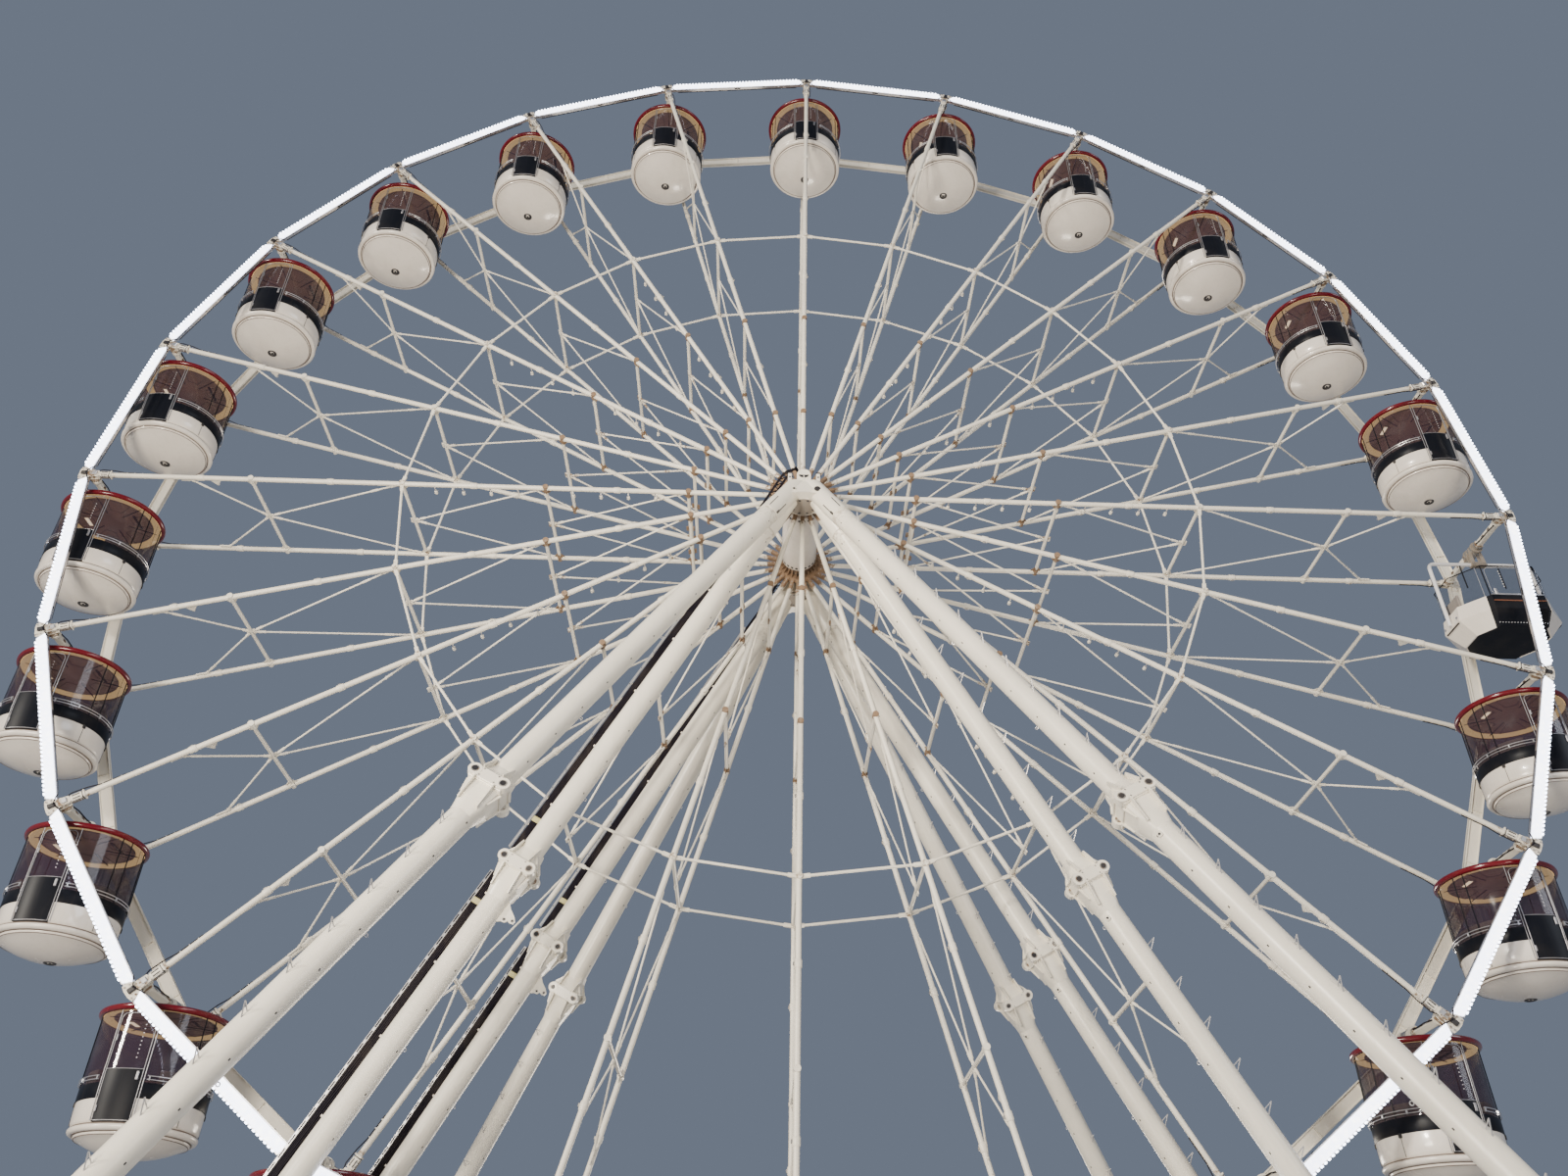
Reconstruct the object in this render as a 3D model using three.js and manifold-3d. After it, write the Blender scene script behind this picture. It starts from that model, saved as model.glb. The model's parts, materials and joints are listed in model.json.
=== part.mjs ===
import * as THREE from 'three';
import { mergeVertices } from 'three/addons/utils/BufferGeometryUtils.js';
import Module from 'manifold-3d';

// Ferris wheel with twenty-four hanging cabins, of the class that travels on trailers.
// Lengths are millimetres. The origin lies on the ground under the middle of the axle.
// The axle runs along Y, and the side that faces the public is -Y.

// Driving dimensions of the wheel
const SPOKES = 24;
const STEP = (2 * Math.PI) / SPOKES;
const RIM_R = 15000;
const AXLE_Z = 18000;
const RING_GAP = 2460;
const WHEEL_TURN = (0.42 * Math.PI) / 180;
const FIT_GAP = 0.3;

// Rim
const RIM_DEPTH = 260;
const RIM_WIDTH = 150;
const RIM_INNER_R = RIM_R - RIM_DEPTH / 2;
const RIM_OUTER_R = RIM_R + RIM_DEPTH / 2;
const CROSS_AXLE_R = 72;
const AXLE_SIDES = 8;
const PIVOT_R = 14840;
const NODE_W = 150;
const NODE_INNER_R = 14690;
const NODE_OUTER_R = 14900;

// Spokes
const SPOKES_A_SECTOR = 4;
const CHORD_R = 85;
const CHORD_HALF = CHORD_R * Math.SQRT1_2;
const STRUT_R = 48;
const STRUT_INSET = 10;
const RING_BAR_R = 45;
const STRUT_RADII = [11550, 8400, 5400, 2400];
const RING_BAR_RADIUS = STRUT_RADII[1];

// Hub and main axle
const FLANGE_R = 700;
const FLANGE_T = 120;
const DRUM_R = 390;
const AXLE_R = 200;
const BEARING_GAP = 0.4;
const END_RING_R = 330;
const END_GAP = 6;

// Legs
const HEAD_Y = 1781;
const FOOT_X = 9800;
const OUTER_FOOT_Y = 8190;
const INNER_FOOT_Y = 2010;
const LEG_R = 200;
const SPLICE_Z = 9370;
const SPLICE_HALF = 300;
const SPLICE_T = 260;
const SPLICE_CUT = 60;
const CUTTER = 3000;
const SOCKET_LENGTH = 1600;
const LEG_SIDES = 8;

// Head castings
const HEAD_BACK_Y = 1400;
const HEAD_FRONT_Y = 2040;
const HEAD_TOP = 17730;
const HEAD_FOOT = 17390;
const HEAD_TOP_X = 330;
const HEAD_FOOT_X = 480;
const CAP_R = 147;
const CAP_FRONT_Y = 1930;
const CAP_SIDES = 16;

// Cable trays on the left inner legs
const TRAY_W = 220;
const TRAY_T = 70;
const TRAY_TOP = 1750;
const TRAY_SPLICE_GAP = 230;
const TRAY_FOOT = 1100;

// Ground frame
const SILL_W = 520;
const SILL_H = 240;
const TIE_W = 300;
const SHOE_W = 560;
const SHOE_D = 640;
const SHOE_H = 420;
const SHOE_IN_X = 150;
const SHOE_IN_Y = 90;
const SILL_OVERHANG = 600;

// Cabins, as heights from the pivot
const CABIN_SIDES = 12;
const ROOF_R = 1035;
const ROOF_FOOT_R = 1015;
const ROOF_TOP = -130;
const ROOF_EDGE = -245;
const CEILING = -310;
const GLASS_R = 968;
const TUB_WALL = 50;
const TUB_TOP = -1650;
const LIP_R = 945;
const LIP_TOP = -2000;
const LIP_FOOT = -2110;
const DISH_R = 640;
const DISH_Z = -2270;
const TUB_BOTTOM = -2375;
const FLOOR_Z = -1960;
const FLOOR_R = 890;
const POST = 44;
const DOOR_POST_TURN = (20 * Math.PI) / 180;
const HANGER_FOOT_R = 300;
const HANGER_TOP_R = 190;
const HANGER_TOP = 150;

// Wide cabin: its spoke, half sizes of its plan and heights from the pivot
const WIDE_CABIN_SPOKE = 6;
const WIDE_X = 1050;
const WIDE_Y = 800;
const WIDE_FRONT = 550;
const WIDE_END = 300;
const BELLY_X = 1120;
const KEEL_X = 780;
const KEEL_Y = 640;
const WIDE_ROOF = -990;
const WIDE_ROOF_T = 50;
const WIDE_TUB_TOP = -1720;
const BELLY_Z = -2020;
const KEEL_Z = -2385;
const WIDE_FLOOR = -2200;
const WIDE_WALL = 60;
const ROOM_X = 840;
const ROOM_Y = 640;
const ROOM_FRONT = 490;
const HOOP_X = 1110;
const HOOP_TOP = -370;
const HOOP_FOOT = -2010;
const HOOP_T = 80;
const STAY_X = 420;

const wasm = await Module();
wasm.setup();

// Finishes
const paint = (color, roughness, metalness) =>
  new THREE.MeshStandardMaterial({ color, roughness, metalness });
const creamPaint = paint(0xe9e2d3, 0.45, 0.1);
const lightBarWhite = paint(0xf7f7ff, 0.3, 0.0);
const greySteel = paint(0x8d8a86, 0.5, 0.6);
const shellWhite = paint(0xeee6da, 0.3, 0.0);
const darkBody = paint(0x17181c, 0.3, 0.1);

// A closed three.js geometry becomes a solid that can be joined or cut.
function solidOf(geometry) {
  const bare = geometry.index ? geometry.toNonIndexed() : geometry.clone();
  bare.deleteAttribute('normal');
  bare.deleteAttribute('uv');
  const merged = mergeVertices(bare, 1e-3);
  const vertProperties = new Float32Array(merged.attributes.position.array);
  const triVerts = new Uint32Array(merged.index.array);
  return new wasm.Manifold(new wasm.Mesh({ numProp: 3, vertProperties, triVerts }));
}

function join(geometries) {
  let whole = null;
  for (const geometry of geometries) {
    const piece = geometry instanceof wasm.Manifold ? geometry : solidOf(geometry);
    whole = whole ? whole.add(piece) : piece;
  }
  return whole;
}

function geometryOf(solid) {
  const { vertProperties, triVerts } = solid.getMesh();
  const geometry = new THREE.BufferGeometry();
  geometry.setAttribute('position', new THREE.BufferAttribute(new Float32Array(vertProperties), 3));
  geometry.setIndex(new THREE.BufferAttribute(new Uint32Array(triVerts), 1));
  geometry.computeVertexNormals();
  return geometry;
}

function meshOf(name, solid, material) {
  const mesh = new THREE.Mesh(geometryOf(solid), material);
  mesh.name = name;
  return mesh;
}

// Box with its middle at a point
function block(w, d, h, x = 0, y = 0, z = 0) {
  return new THREE.BoxGeometry(w, d, h).translate(x, y, z);
}

// Straight bar of few sides between two points, with a flat turned outwards
function bar(from, to, radius, sides, endRadius = radius) {
  const along = new THREE.Vector3().subVectors(to, from);
  const length = along.length();
  const geometry = new THREE.CylinderGeometry(endRadius, radius, length, sides);
  geometry.rotateY(Math.PI / sides);
  const turn = new THREE.Quaternion().setFromUnitVectors(new THREE.Vector3(0, 1, 0), along.normalize());
  geometry.applyQuaternion(turn);
  const middle = new THREE.Vector3().addVectors(from, to).multiplyScalar(0.5);
  return geometry.translate(middle.x, middle.y, middle.z);
}

const point = (x, y, z) => new THREE.Vector3(x, y, z);

// Angle of a spoke from straight up, towards +X
const spokeAngle = (index) => index * STEP + WHEEL_TURN;

// Turned about the axle from a spoke that points straight up, then raised to the axle
function placeOnWheel(geometry, angle) {
  return geometry.rotateY(angle).translate(0, 0, AXLE_Z);
}

function radialPoint(radius, y, angle) {
  return point(radius * Math.sin(angle), y, AXLE_Z + radius * Math.cos(angle));
}

// A spoke is a flat truss: two chords in the ring planes, tied by struts along the axle.
function spokeSolids(index) {
  const inner = FLANGE_R + FIT_GAP;
  const outer = NODE_INNER_R - FIT_GAP;
  const halfGap = RING_GAP / 2;
  const pieces = [];
  for (const y of [-halfGap, halfGap]) {
    pieces.push(bar(point(0, y, inner), point(0, y, outer), CHORD_R, 4));
  }
  for (const radius of STRUT_RADII) {
    const end = halfGap - STRUT_INSET;
    pieces.push(bar(point(0, -end, radius), point(0, end, radius), STRUT_R, 4));
  }
  return pieces.map((piece) => placeOnWheel(piece, spokeAngle(index)));
}

// Bars that tie a spoke to the next one, in both ring planes; the last of a sector stops at its neighbour.
function ringBars(index, endsShort) {
  const half = RING_BAR_RADIUS * Math.sin(STEP / 2);
  const middle = RING_BAR_RADIUS * Math.cos(STEP / 2);
  const clear = CHORD_HALF / Math.cos(STEP / 2) + RING_BAR_R * Math.tan(STEP / 2) + FIT_GAP;
  const end = endsShort ? half - clear : half;
  const angle = spokeAngle(index + 0.5);
  const bars = [-RING_GAP / 2, RING_GAP / 2].map((y) =>
    bar(point(-half, y, middle), point(end, y, middle), RING_BAR_R, 4));
  return bars.map((piece) => placeOnWheel(piece, angle));
}

function spokeSector(sector) {
  const pieces = [];
  for (let i = 0; i < SPOKES_A_SECTOR; i += 1) {
    const index = sector * SPOKES_A_SECTOR + i;
    pieces.push(...spokeSolids(index));
    pieces.push(...ringBars(index, i === SPOKES_A_SECTOR - 1));
  }
  return join(pieces);
}

// Outline of a ring of straight beams, with a corner at each spoke
function ringOutline(path, cornerRadius) {
  for (let index = SPOKES; index > 0; index -= 1) {
    const x = cornerRadius * Math.sin(spokeAngle(index));
    const z = cornerRadius * Math.cos(spokeAngle(index));
    if (index === SPOKES) path.moveTo(x, z);
    else path.lineTo(x, z);
  }
  path.closePath();
  return path;
}

function rimRing(y) {
  const shape = ringOutline(new THREE.Shape(), RIM_OUTER_R);
  shape.holes.push(ringOutline(new THREE.Path(), RIM_INNER_R));
  const ring = new THREE.ExtrudeGeometry(shape, { depth: RIM_WIDTH, bevelEnabled: false });
  return ring.rotateX(Math.PI / 2).translate(0, y + RIM_WIDTH / 2, AXLE_Z);
}

// Ring with a block at each corner, which takes a spoke's chord and the end of a cross axle
function rimWithNodes(y) {
  const pieces = [rimRing(y)];
  const height = NODE_OUTER_R - NODE_INNER_R;
  for (let index = 0; index < SPOKES; index += 1) {
    const node = block(NODE_W, RIM_WIDTH, height, 0, y, NODE_INNER_R + height / 2);
    pieces.push(placeOnWheel(node, spokeAngle(index)));
  }
  return pieces;
}

// The cross axles that carry the cabins are fast in the front ring and end at the rear ring.
function frontRim() {
  const pieces = rimWithNodes(-RING_GAP / 2);
  const rearEnd = RING_GAP / 2 - RIM_WIDTH / 2 - FIT_GAP;
  const from = point(0, -RING_GAP / 2, PIVOT_R);
  const to = point(0, rearEnd, PIVOT_R);
  for (let index = 0; index < SPOKES; index += 1) {
    pieces.push(placeOnWheel(bar(from, to, CROSS_AXLE_R, AXLE_SIDES), spokeAngle(index)));
  }
  return join(pieces);
}

// Profile of radius and height turned about the axle line along Y
function turnedOnAxle(profile, sides) {
  const points = profile.map(([radius, along]) => new THREE.Vector2(radius, along));
  const geometry = new THREE.LatheGeometry(points, sides);
  return geometry.rotateY(Math.PI / sides);
}

// Hub drum with two flanges; its ends run on the fixed axle
function hubDrum() {
  const half = RING_GAP / 2 + FLANGE_T / 2;
  const flangeInner = half - FLANGE_T;
  const bore = (AXLE_R + BEARING_GAP) / Math.cos(Math.PI / SPOKES);
  const rim = FLANGE_R / Math.cos(Math.PI / SPOKES);
  const profile = [
    [bore, half],
    [bore, -half],
    [rim, -half],
    [rim, -flangeInner],
    [DRUM_R, -flangeInner],
    [DRUM_R, flangeInner],
    [rim, flangeInner],
    [rim, half],
    [bore, half],
  ];
  const drum = turnedOnAxle(profile, SPOKES).rotateY(WHEEL_TURN).translate(0, 0, AXLE_Z);
  return solidOf(drum);
}

// Fixed axle between the heads, with a ring outside each hub flange
function mainAxle() {
  const end = HEAD_BACK_Y - FIT_GAP;
  const ring = RING_GAP / 2 + FLANGE_T / 2 + END_GAP;
  const profile = [
    [0, -end],
    [END_RING_R, -end],
    [END_RING_R, -ring],
    [AXLE_R, -ring],
    [AXLE_R, ring],
    [END_RING_R, ring],
    [END_RING_R, end],
    [0, end],
  ];
  return solidOf(turnedOnAxle(profile, SPOKES / 2).translate(0, 0, AXLE_Z));
}

// Top of a leg, its foot on the ground, and a point along it
function legLine(sideX, sideY, outer) {
  const top = point(0, sideY * HEAD_Y, AXLE_Z);
  const foot = point(sideX * FOOT_X, sideY * (outer ? OUTER_FOOT_Y : INNER_FOOT_Y), 0);
  const way = new THREE.Vector3().subVectors(foot, top).normalize();
  return { top, foot, way };
}

// Head casting: a tapered block, a round-topped cap on the axle's line, and a socket for each of four legs
function head(sideY) {
  const outline = [
    [-HEAD_FOOT_X, HEAD_FOOT],
    [HEAD_FOOT_X, HEAD_FOOT],
    [HEAD_TOP_X, HEAD_TOP],
    [-HEAD_TOP_X, HEAD_TOP],
  ];
  const shape = new THREE.Shape(outline.map(([x, z]) => new THREE.Vector2(x, z)));
  const depth = HEAD_FRONT_Y - HEAD_BACK_Y;
  const body = new THREE.ExtrudeGeometry(shape, { depth, bevelEnabled: false }).rotateX(Math.PI / 2);
  const pieces = [body.translate(0, (sideY * (HEAD_FRONT_Y + HEAD_BACK_Y) + depth) / 2, 0)];
  for (const sideX of [-1, 1]) {
    for (const outer of [false, true]) {
      const { top, way } = legLine(sideX, sideY, outer);
      pieces.push(legTube(LEG_R, 0, SOCKET_LENGTH).applyMatrix4(legFrame(top, way)));
    }
  }
  const above = block(CUTTER, CUTTER, CUTTER, 0, sideY * HEAD_Y, HEAD_TOP + CUTTER / 2);
  const capDepth = CAP_FRONT_Y - HEAD_BACK_Y;
  const capY = (sideY * (CAP_FRONT_Y + HEAD_BACK_Y)) / 2;
  const neck = block(2 * CAP_R, capDepth, AXLE_Z - HEAD_FOOT, 0, capY, (AXLE_Z + HEAD_FOOT) / 2);
  const cap = new THREE.CylinderGeometry(CAP_R, CAP_R, capDepth, CAP_SIDES).translate(0, capY, AXLE_Z);
  return join([join(pieces).subtract(solidOf(above)), neck, cap]);
}

// Frame of a leg: its own Z runs down the tube and its own X lies level, across the tube.
function legFrame(at, way) {
  const across = new THREE.Vector3(0, 1, 0).cross(way).normalize();
  const deep = new THREE.Vector3().crossVectors(way, across);
  return new THREE.Matrix4().makeBasis(across, deep, way).setPosition(at);
}

// Tube along a leg's own Z
function legTube(radius, low, high) {
  const tube = new THREE.CylinderGeometry(radius, radius, high - low, LEG_SIDES);
  return tube.rotateY(Math.PI / LEG_SIDES).rotateX(Math.PI / 2).translate(0, 0, (low + high) / 2);
}

// Square collar of plate with cut corners, where the two lengths of a leg are pinned together
function spliceCollar(along) {
  const flat = SPLICE_HALF - SPLICE_CUT;
  const collar = slab(SPLICE_HALF, SPLICE_HALF, flat, flat, SPLICE_T);
  return collar.translate(0, 0, along - SPLICE_T / 2);
}

// Place of a leg's splice along its own Z
const spliceAlong = (way) => (AXLE_Z - SPLICE_Z) / -way.z;

// Leg tube from its socket down to a shoe on the ground frame
function leg(sideX, sideY, outer) {
  const { top, foot, way } = legLine(sideX, sideY, outer);
  const length = top.distanceTo(foot);
  const frame = legFrame(top, way);
  const pieces = [legTube(LEG_R, SOCKET_LENGTH + FIT_GAP, length), spliceCollar(spliceAlong(way))];
  const placed = pieces.map((piece) => piece.applyMatrix4(frame));
  const ground = SILL_H + FIT_GAP;
  const shoeX = foot.x - sideX * SHOE_IN_X;
  const shoeY = foot.y - sideY * (outer ? SHOE_IN_Y : 0);
  placed.push(block(SHOE_W, SHOE_D, SHOE_H, shoeX, shoeY, ground + SHOE_H / 2));
  const below = block(CUTTER, CUTTER, CUTTER, foot.x, foot.y, ground - CUTTER / 2);
  return join(placed).subtract(solidOf(below));
}

// Length of cable tray on the outward flat of a left inner leg, above or below the splice
function cableTray(sideY, above) {
  const { top, foot, way } = legLine(-1, sideY, false);
  const middle = spliceAlong(way);
  const start = above ? TRAY_TOP : middle + TRAY_SPLICE_GAP;
  const end = above ? middle - TRAY_SPLICE_GAP : top.distanceTo(foot) - TRAY_FOOT;
  const flat = LEG_R * Math.cos(Math.PI / LEG_SIDES) + FIT_GAP;
  const tray = block(TRAY_W, TRAY_T, end - start, flat + TRAY_W / 2, 0, (start + end) / 2);
  return solidOf(tray.applyMatrix4(legFrame(top, way)));
}

// Sill under the four feet of one side
function sill(sideX) {
  const length = 2 * (OUTER_FOOT_Y + SILL_OVERHANG);
  return solidOf(block(SILL_W, length, SILL_H, sideX * FOOT_X, 0, SILL_H / 2));
}

// Tie along X between the sills, at the inner feet
function tie(sideY) {
  const length = 2 * FOOT_X - SILL_W - 2 * FIT_GAP;
  return solidOf(block(length, TIE_W, SILL_H, 0, sideY * INNER_FOOT_Y, SILL_H / 2));
}

// Profile of radius and height turned about a cabin's upright line
function turnedUpright(profile) {
  const points = profile.map(([radius, height]) => new THREE.Vector2(radius, height));
  return new THREE.LatheGeometry(points, CABIN_SIDES).rotateX(Math.PI / 2);
}

// Tapered hanger on the roof, bored for the cross axle; the bore's flats face the axle's corners
function hanger(foot, angle) {
  const bore = (CROSS_AXLE_R + BEARING_GAP) / Math.cos(Math.PI / AXLE_SIDES);
  const body = solidOf(bar(point(0, 0, foot), point(0, 0, HANGER_TOP), HANGER_FOOT_R, 4, HANGER_TOP_R));
  const hole = new THREE.CylinderGeometry(bore, bore, 2 * HANGER_FOOT_R, AXLE_SIDES).rotateY(angle);
  return body.subtract(solidOf(hole));
}

// Round cabin: a lipped dish under a low wall, a shallow roof, and door posts front and rear
function roundCabin(angle) {
  const tub = turnedUpright([
    [0, TUB_BOTTOM],
    [DISH_R, DISH_Z],
    [LIP_R, LIP_FOOT],
    [LIP_R, LIP_TOP],
    [GLASS_R, TUB_TOP],
    [GLASS_R - TUB_WALL, TUB_TOP],
    [FLOOR_R, FLOOR_Z],
    [0, FLOOR_Z],
  ]);
  const roof = turnedUpright([
    [0, CEILING],
    [ROOF_FOOT_R, CEILING],
    [ROOF_R, ROOF_EDGE],
    [0, ROOF_TOP],
  ]);
  const pieces = [tub, roof];
  const postRing = (GLASS_R - TUB_WALL / 2) * Math.cos(Math.PI / CABIN_SIDES);
  const postHeight = CEILING - TUB_TOP + 2 * POST;
  for (const side of [0, Math.PI]) {
    for (const turn of [side - DOOR_POST_TURN, side + DOOR_POST_TURN]) {
      const post = block(POST, POST, postHeight, 0, -postRing, (TUB_TOP + CEILING) / 2);
      pieces.push(post.rotateZ(turn));
    }
  }
  return join([...pieces, hanger(ROOF_TOP - POST, angle)]);
}

// Plan outline with cut corners: half sizes, half of the front side and half of an end
function cutPlan(halfX, halfY, front, end) {
  return [
    [-front, -halfY], [front, -halfY], [halfX, -end], [halfX, end],
    [front, halfY], [-front, halfY], [-halfX, end], [-halfX, -end],
  ];
}

// Plate of a plan outline with its foot at zero
function slab(halfX, halfY, front, end, depth) {
  const shape = new THREE.Shape(cutPlan(halfX, halfY, front, end).map(([x, y]) => new THREE.Vector2(x, y)));
  return new THREE.ExtrudeGeometry(shape, { depth, bevelEnabled: false });
}

// Convex body through two plan outlines at their heights
function loft(lowPlan, low, highPlan, high) {
  const corners = [...lowPlan.map(([x, y]) => [x, y, low]), ...highPlan.map(([x, y]) => [x, y, high])];
  return wasm.Manifold.hull(corners);
}

// Wide cabin for a wheelchair: a faceted hull with a flat roof on posts, held in a tube hoop
function wideCabin(angle) {
  const topPlan = cutPlan(WIDE_X, WIDE_Y, WIDE_FRONT, WIDE_END);
  const bellyPlan = cutPlan(BELLY_X, WIDE_Y, WIDE_FRONT, WIDE_END);
  const keelPlan = cutPlan(KEEL_X, KEEL_Y, ROOM_FRONT, WIDE_END - WIDE_WALL);
  const sides = loft(bellyPlan, BELLY_Z, topPlan, WIDE_TUB_TOP);
  const belly = loft(keelPlan, KEEL_Z, bellyPlan, BELLY_Z);
  const depth = WIDE_TUB_TOP - WIDE_FLOOR + WIDE_WALL;
  const room = slab(ROOM_X, ROOM_Y, ROOM_FRONT, WIDE_END, depth).translate(0, 0, WIDE_FLOOR);
  const hull = sides.add(belly).subtract(solidOf(room));
  const roof = slab(WIDE_X, WIDE_Y, WIDE_FRONT, WIDE_END, WIDE_ROOF_T).translate(0, 0, WIDE_ROOF);
  const pieces = [hull, roof];
  const postHeight = WIDE_ROOF - WIDE_TUB_TOP + 2 * POST;
  const postZ = (WIDE_ROOF + WIDE_TUB_TOP) / 2;
  for (const sx of [-1, 1]) {
    for (const sy of [-1, 1]) {
      pieces.push(block(POST, POST, postHeight, sx * WIDE_FRONT, sy * (WIDE_Y - WIDE_WALL), postZ));
    }
    pieces.push(block(HOOP_T, HOOP_T, HOOP_TOP - HOOP_FOOT, sx * HOOP_X, 0, (HOOP_TOP + HOOP_FOOT) / 2));
    pieces.push(block(HOOP_T, HOOP_T, HOOP_TOP - WIDE_ROOF, sx * STAY_X, 0, (HOOP_TOP + WIDE_ROOF) / 2));
  }
  pieces.push(block(2 * HOOP_X + HOOP_T, HOOP_T, HOOP_T, 0, 0, HOOP_TOP));
  return join([...pieces, hanger(HOOP_TOP, angle)]);
}

const wheel = new THREE.Group();
for (let sector = 0; sector < SPOKES / SPOKES_A_SECTOR; sector += 1) {
  wheel.add(meshOf(`spokes_${sector + 1}`, spokeSector(sector), creamPaint));
}
wheel.add(meshOf('front_rim', frontRim(), lightBarWhite));
wheel.add(meshOf('rear_rim', join(rimWithNodes(RING_GAP / 2)), creamPaint));
wheel.add(meshOf('hub_drum', hubDrum(), creamPaint));

const cabins = new THREE.Group();
for (let index = 0; index < SPOKES; index += 1) {
  const wide = index === WIDE_CABIN_SPOKE;
  const angle = spokeAngle(index);
  const solid = wide ? wideCabin(angle) : roundCabin(angle);
  const cabin = meshOf(`cabin_${String(index + 1).padStart(2, '0')}`, solid, wide ? darkBody : shellWhite);
  cabin.position.copy(radialPoint(PIVOT_R, 0, angle));
  cabins.add(cabin);
}

const tower = new THREE.Group();
tower.add(meshOf('main_axle', mainAxle(), greySteel));
for (const [sideY, place] of [[-1, 'front'], [1, 'rear']]) {
  tower.add(meshOf(`head_${place}`, head(sideY), creamPaint));
  tower.add(meshOf(`tie_${place}`, tie(sideY), creamPaint));
  tower.add(meshOf(`cable_tray_${place}_upper`, cableTray(sideY, true), greySteel));
  tower.add(meshOf(`cable_tray_${place}_lower`, cableTray(sideY, false), greySteel));
  for (const [sideX, hand] of [[-1, 'left'], [1, 'right']]) {
    tower.add(meshOf(`leg_outer_${place}_${hand}`, leg(sideX, sideY, true), creamPaint));
    tower.add(meshOf(`leg_inner_${place}_${hand}`, leg(sideX, sideY, false), creamPaint));
  }
}
tower.add(meshOf('sill_left', sill(-1), creamPaint));
tower.add(meshOf('sill_right', sill(1), creamPaint));

const ferrisWheel = new THREE.Group();
ferrisWheel.add(tower, wheel, cabins);

export default ferrisWheel;
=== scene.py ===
"""Looks of a transportable ferris wheel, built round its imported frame."""
import json
import math

import bpy
import numpy as np
from bpy.props import FloatProperty, FloatVectorProperty, IntProperty, PointerProperty
from bpy.types import Operator, Panel, PropertyGroup
from mathutils import Matrix, Vector


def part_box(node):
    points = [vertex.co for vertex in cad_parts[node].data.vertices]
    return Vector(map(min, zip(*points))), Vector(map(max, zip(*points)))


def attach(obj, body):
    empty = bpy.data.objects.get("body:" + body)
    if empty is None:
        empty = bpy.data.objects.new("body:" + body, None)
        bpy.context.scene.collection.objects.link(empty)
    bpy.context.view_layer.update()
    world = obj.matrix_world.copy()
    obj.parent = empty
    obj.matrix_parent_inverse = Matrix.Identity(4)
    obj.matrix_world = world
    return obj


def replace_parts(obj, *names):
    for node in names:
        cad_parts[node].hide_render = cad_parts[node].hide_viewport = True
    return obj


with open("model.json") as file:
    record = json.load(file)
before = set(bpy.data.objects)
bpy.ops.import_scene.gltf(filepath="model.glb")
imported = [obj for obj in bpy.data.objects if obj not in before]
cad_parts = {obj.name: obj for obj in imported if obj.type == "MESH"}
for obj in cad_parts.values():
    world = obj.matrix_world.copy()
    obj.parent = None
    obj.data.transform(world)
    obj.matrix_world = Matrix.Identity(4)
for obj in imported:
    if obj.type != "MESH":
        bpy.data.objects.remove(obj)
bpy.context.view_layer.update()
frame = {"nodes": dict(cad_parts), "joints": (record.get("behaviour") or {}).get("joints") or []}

bl_info = {
    "name": "Ferris Wheel Looks",
    "version": (1, 0, 0),
    "blender": (4, 5, 0),
    "location": "3D View > Sidebar > Ferris Wheel",
    "description": "Dresses the packed frame of a ferris wheel with its lattice, lights, legs and cabins",
    "category": "Add Mesh",
}

# Places that the frame gives: the axle's height and the pivot of each cabin
PIVOTS = {j["child"]: Vector(j["pos_m"]) for j in frame["joints"] if j["child"].startswith("cabin")}
AXLE_Z = next(j["pos_m"][2] for j in frame["joints"] if j["child"] == "wheel")
CABINS = sorted(PIVOTS)
SPOKES = len(CABINS)
STEP = 2 * math.pi / SPOKES
WHEEL_TURN = math.atan2(PIVOTS[CABINS[0]].x, PIVOTS[CABINS[0]].z - AXLE_Z)
PIVOT_R = math.hypot(PIVOTS[CABINS[0]].x, PIVOTS[CABINS[0]].z - AXLE_Z)
RIM_R = 15.0
RIM_HALF = RIM_R * math.sin(STEP / 2)
RIM_MIDDLE = RIM_R * math.cos(STEP / 2)
SECTORS = sorted(name for name in frame["nodes"] if name.startswith("spokes_"))
SPOKES_A_SECTOR = SPOKES // len(SECTORS)
HALF_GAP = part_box("rear_rim")[0].y / 2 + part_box("rear_rim")[1].y / 2
WIDE_CABIN = "cabin_07"
SHARP_ANGLE = math.radians(32)

# Stations of the spoke trusses, as distances from the axle
STRUT_RADII = (11.55, 8.4, 5.4, 2.4)
OUTER_BRACE_R = 12.9
FLANGE_R = 0.7
FLANGE_DISC_R = 0.50
LAMP_BRACKET_R = 12.3
NODE_R = 14.69

# Legs: lines from the head to the foot, and the height of their pinned splices
HEAD_Y = 1.781
HEAD_BACK_Y = 1.402
HEAD_FRONT_Y = 2.04
HEAD_TOP_Z = 17.728
HEAD_FOOT_Z = 17.392
CAP_FRONT_Y = 1.928
CAP_R = 0.145
BOSS_Y = 1.68
BOSS_HOLES = 8
SOCKET_END = 1.6
FOOT_X = 9.8
OUTER_FOOT_Y = 8.19
INNER_FOOT_Y = 2.01
SPLICE_Z = 9.37
SILL_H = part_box("sill_left")[1].z

# The photograph's viewpoint
CAMERA_AT = (-0.80, -21.08, 1.66)
CAMERA_YAW = math.radians(1.24)
CAMERA_PITCH = math.radians(35.11)
CAMERA_ROLL = math.radians(0.61)
CAMERA_LENS = 27.95


def length(name, description, default):
    """Property that holds a length."""
    return FloatProperty(name=name, description=description, default=default, unit="LENGTH")


def colour(name, description, default):
    """Property that holds a colour."""
    return FloatVectorProperty(
        name=name, description=description, subtype="COLOR", size=3, default=default, min=0, max=1)


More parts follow.
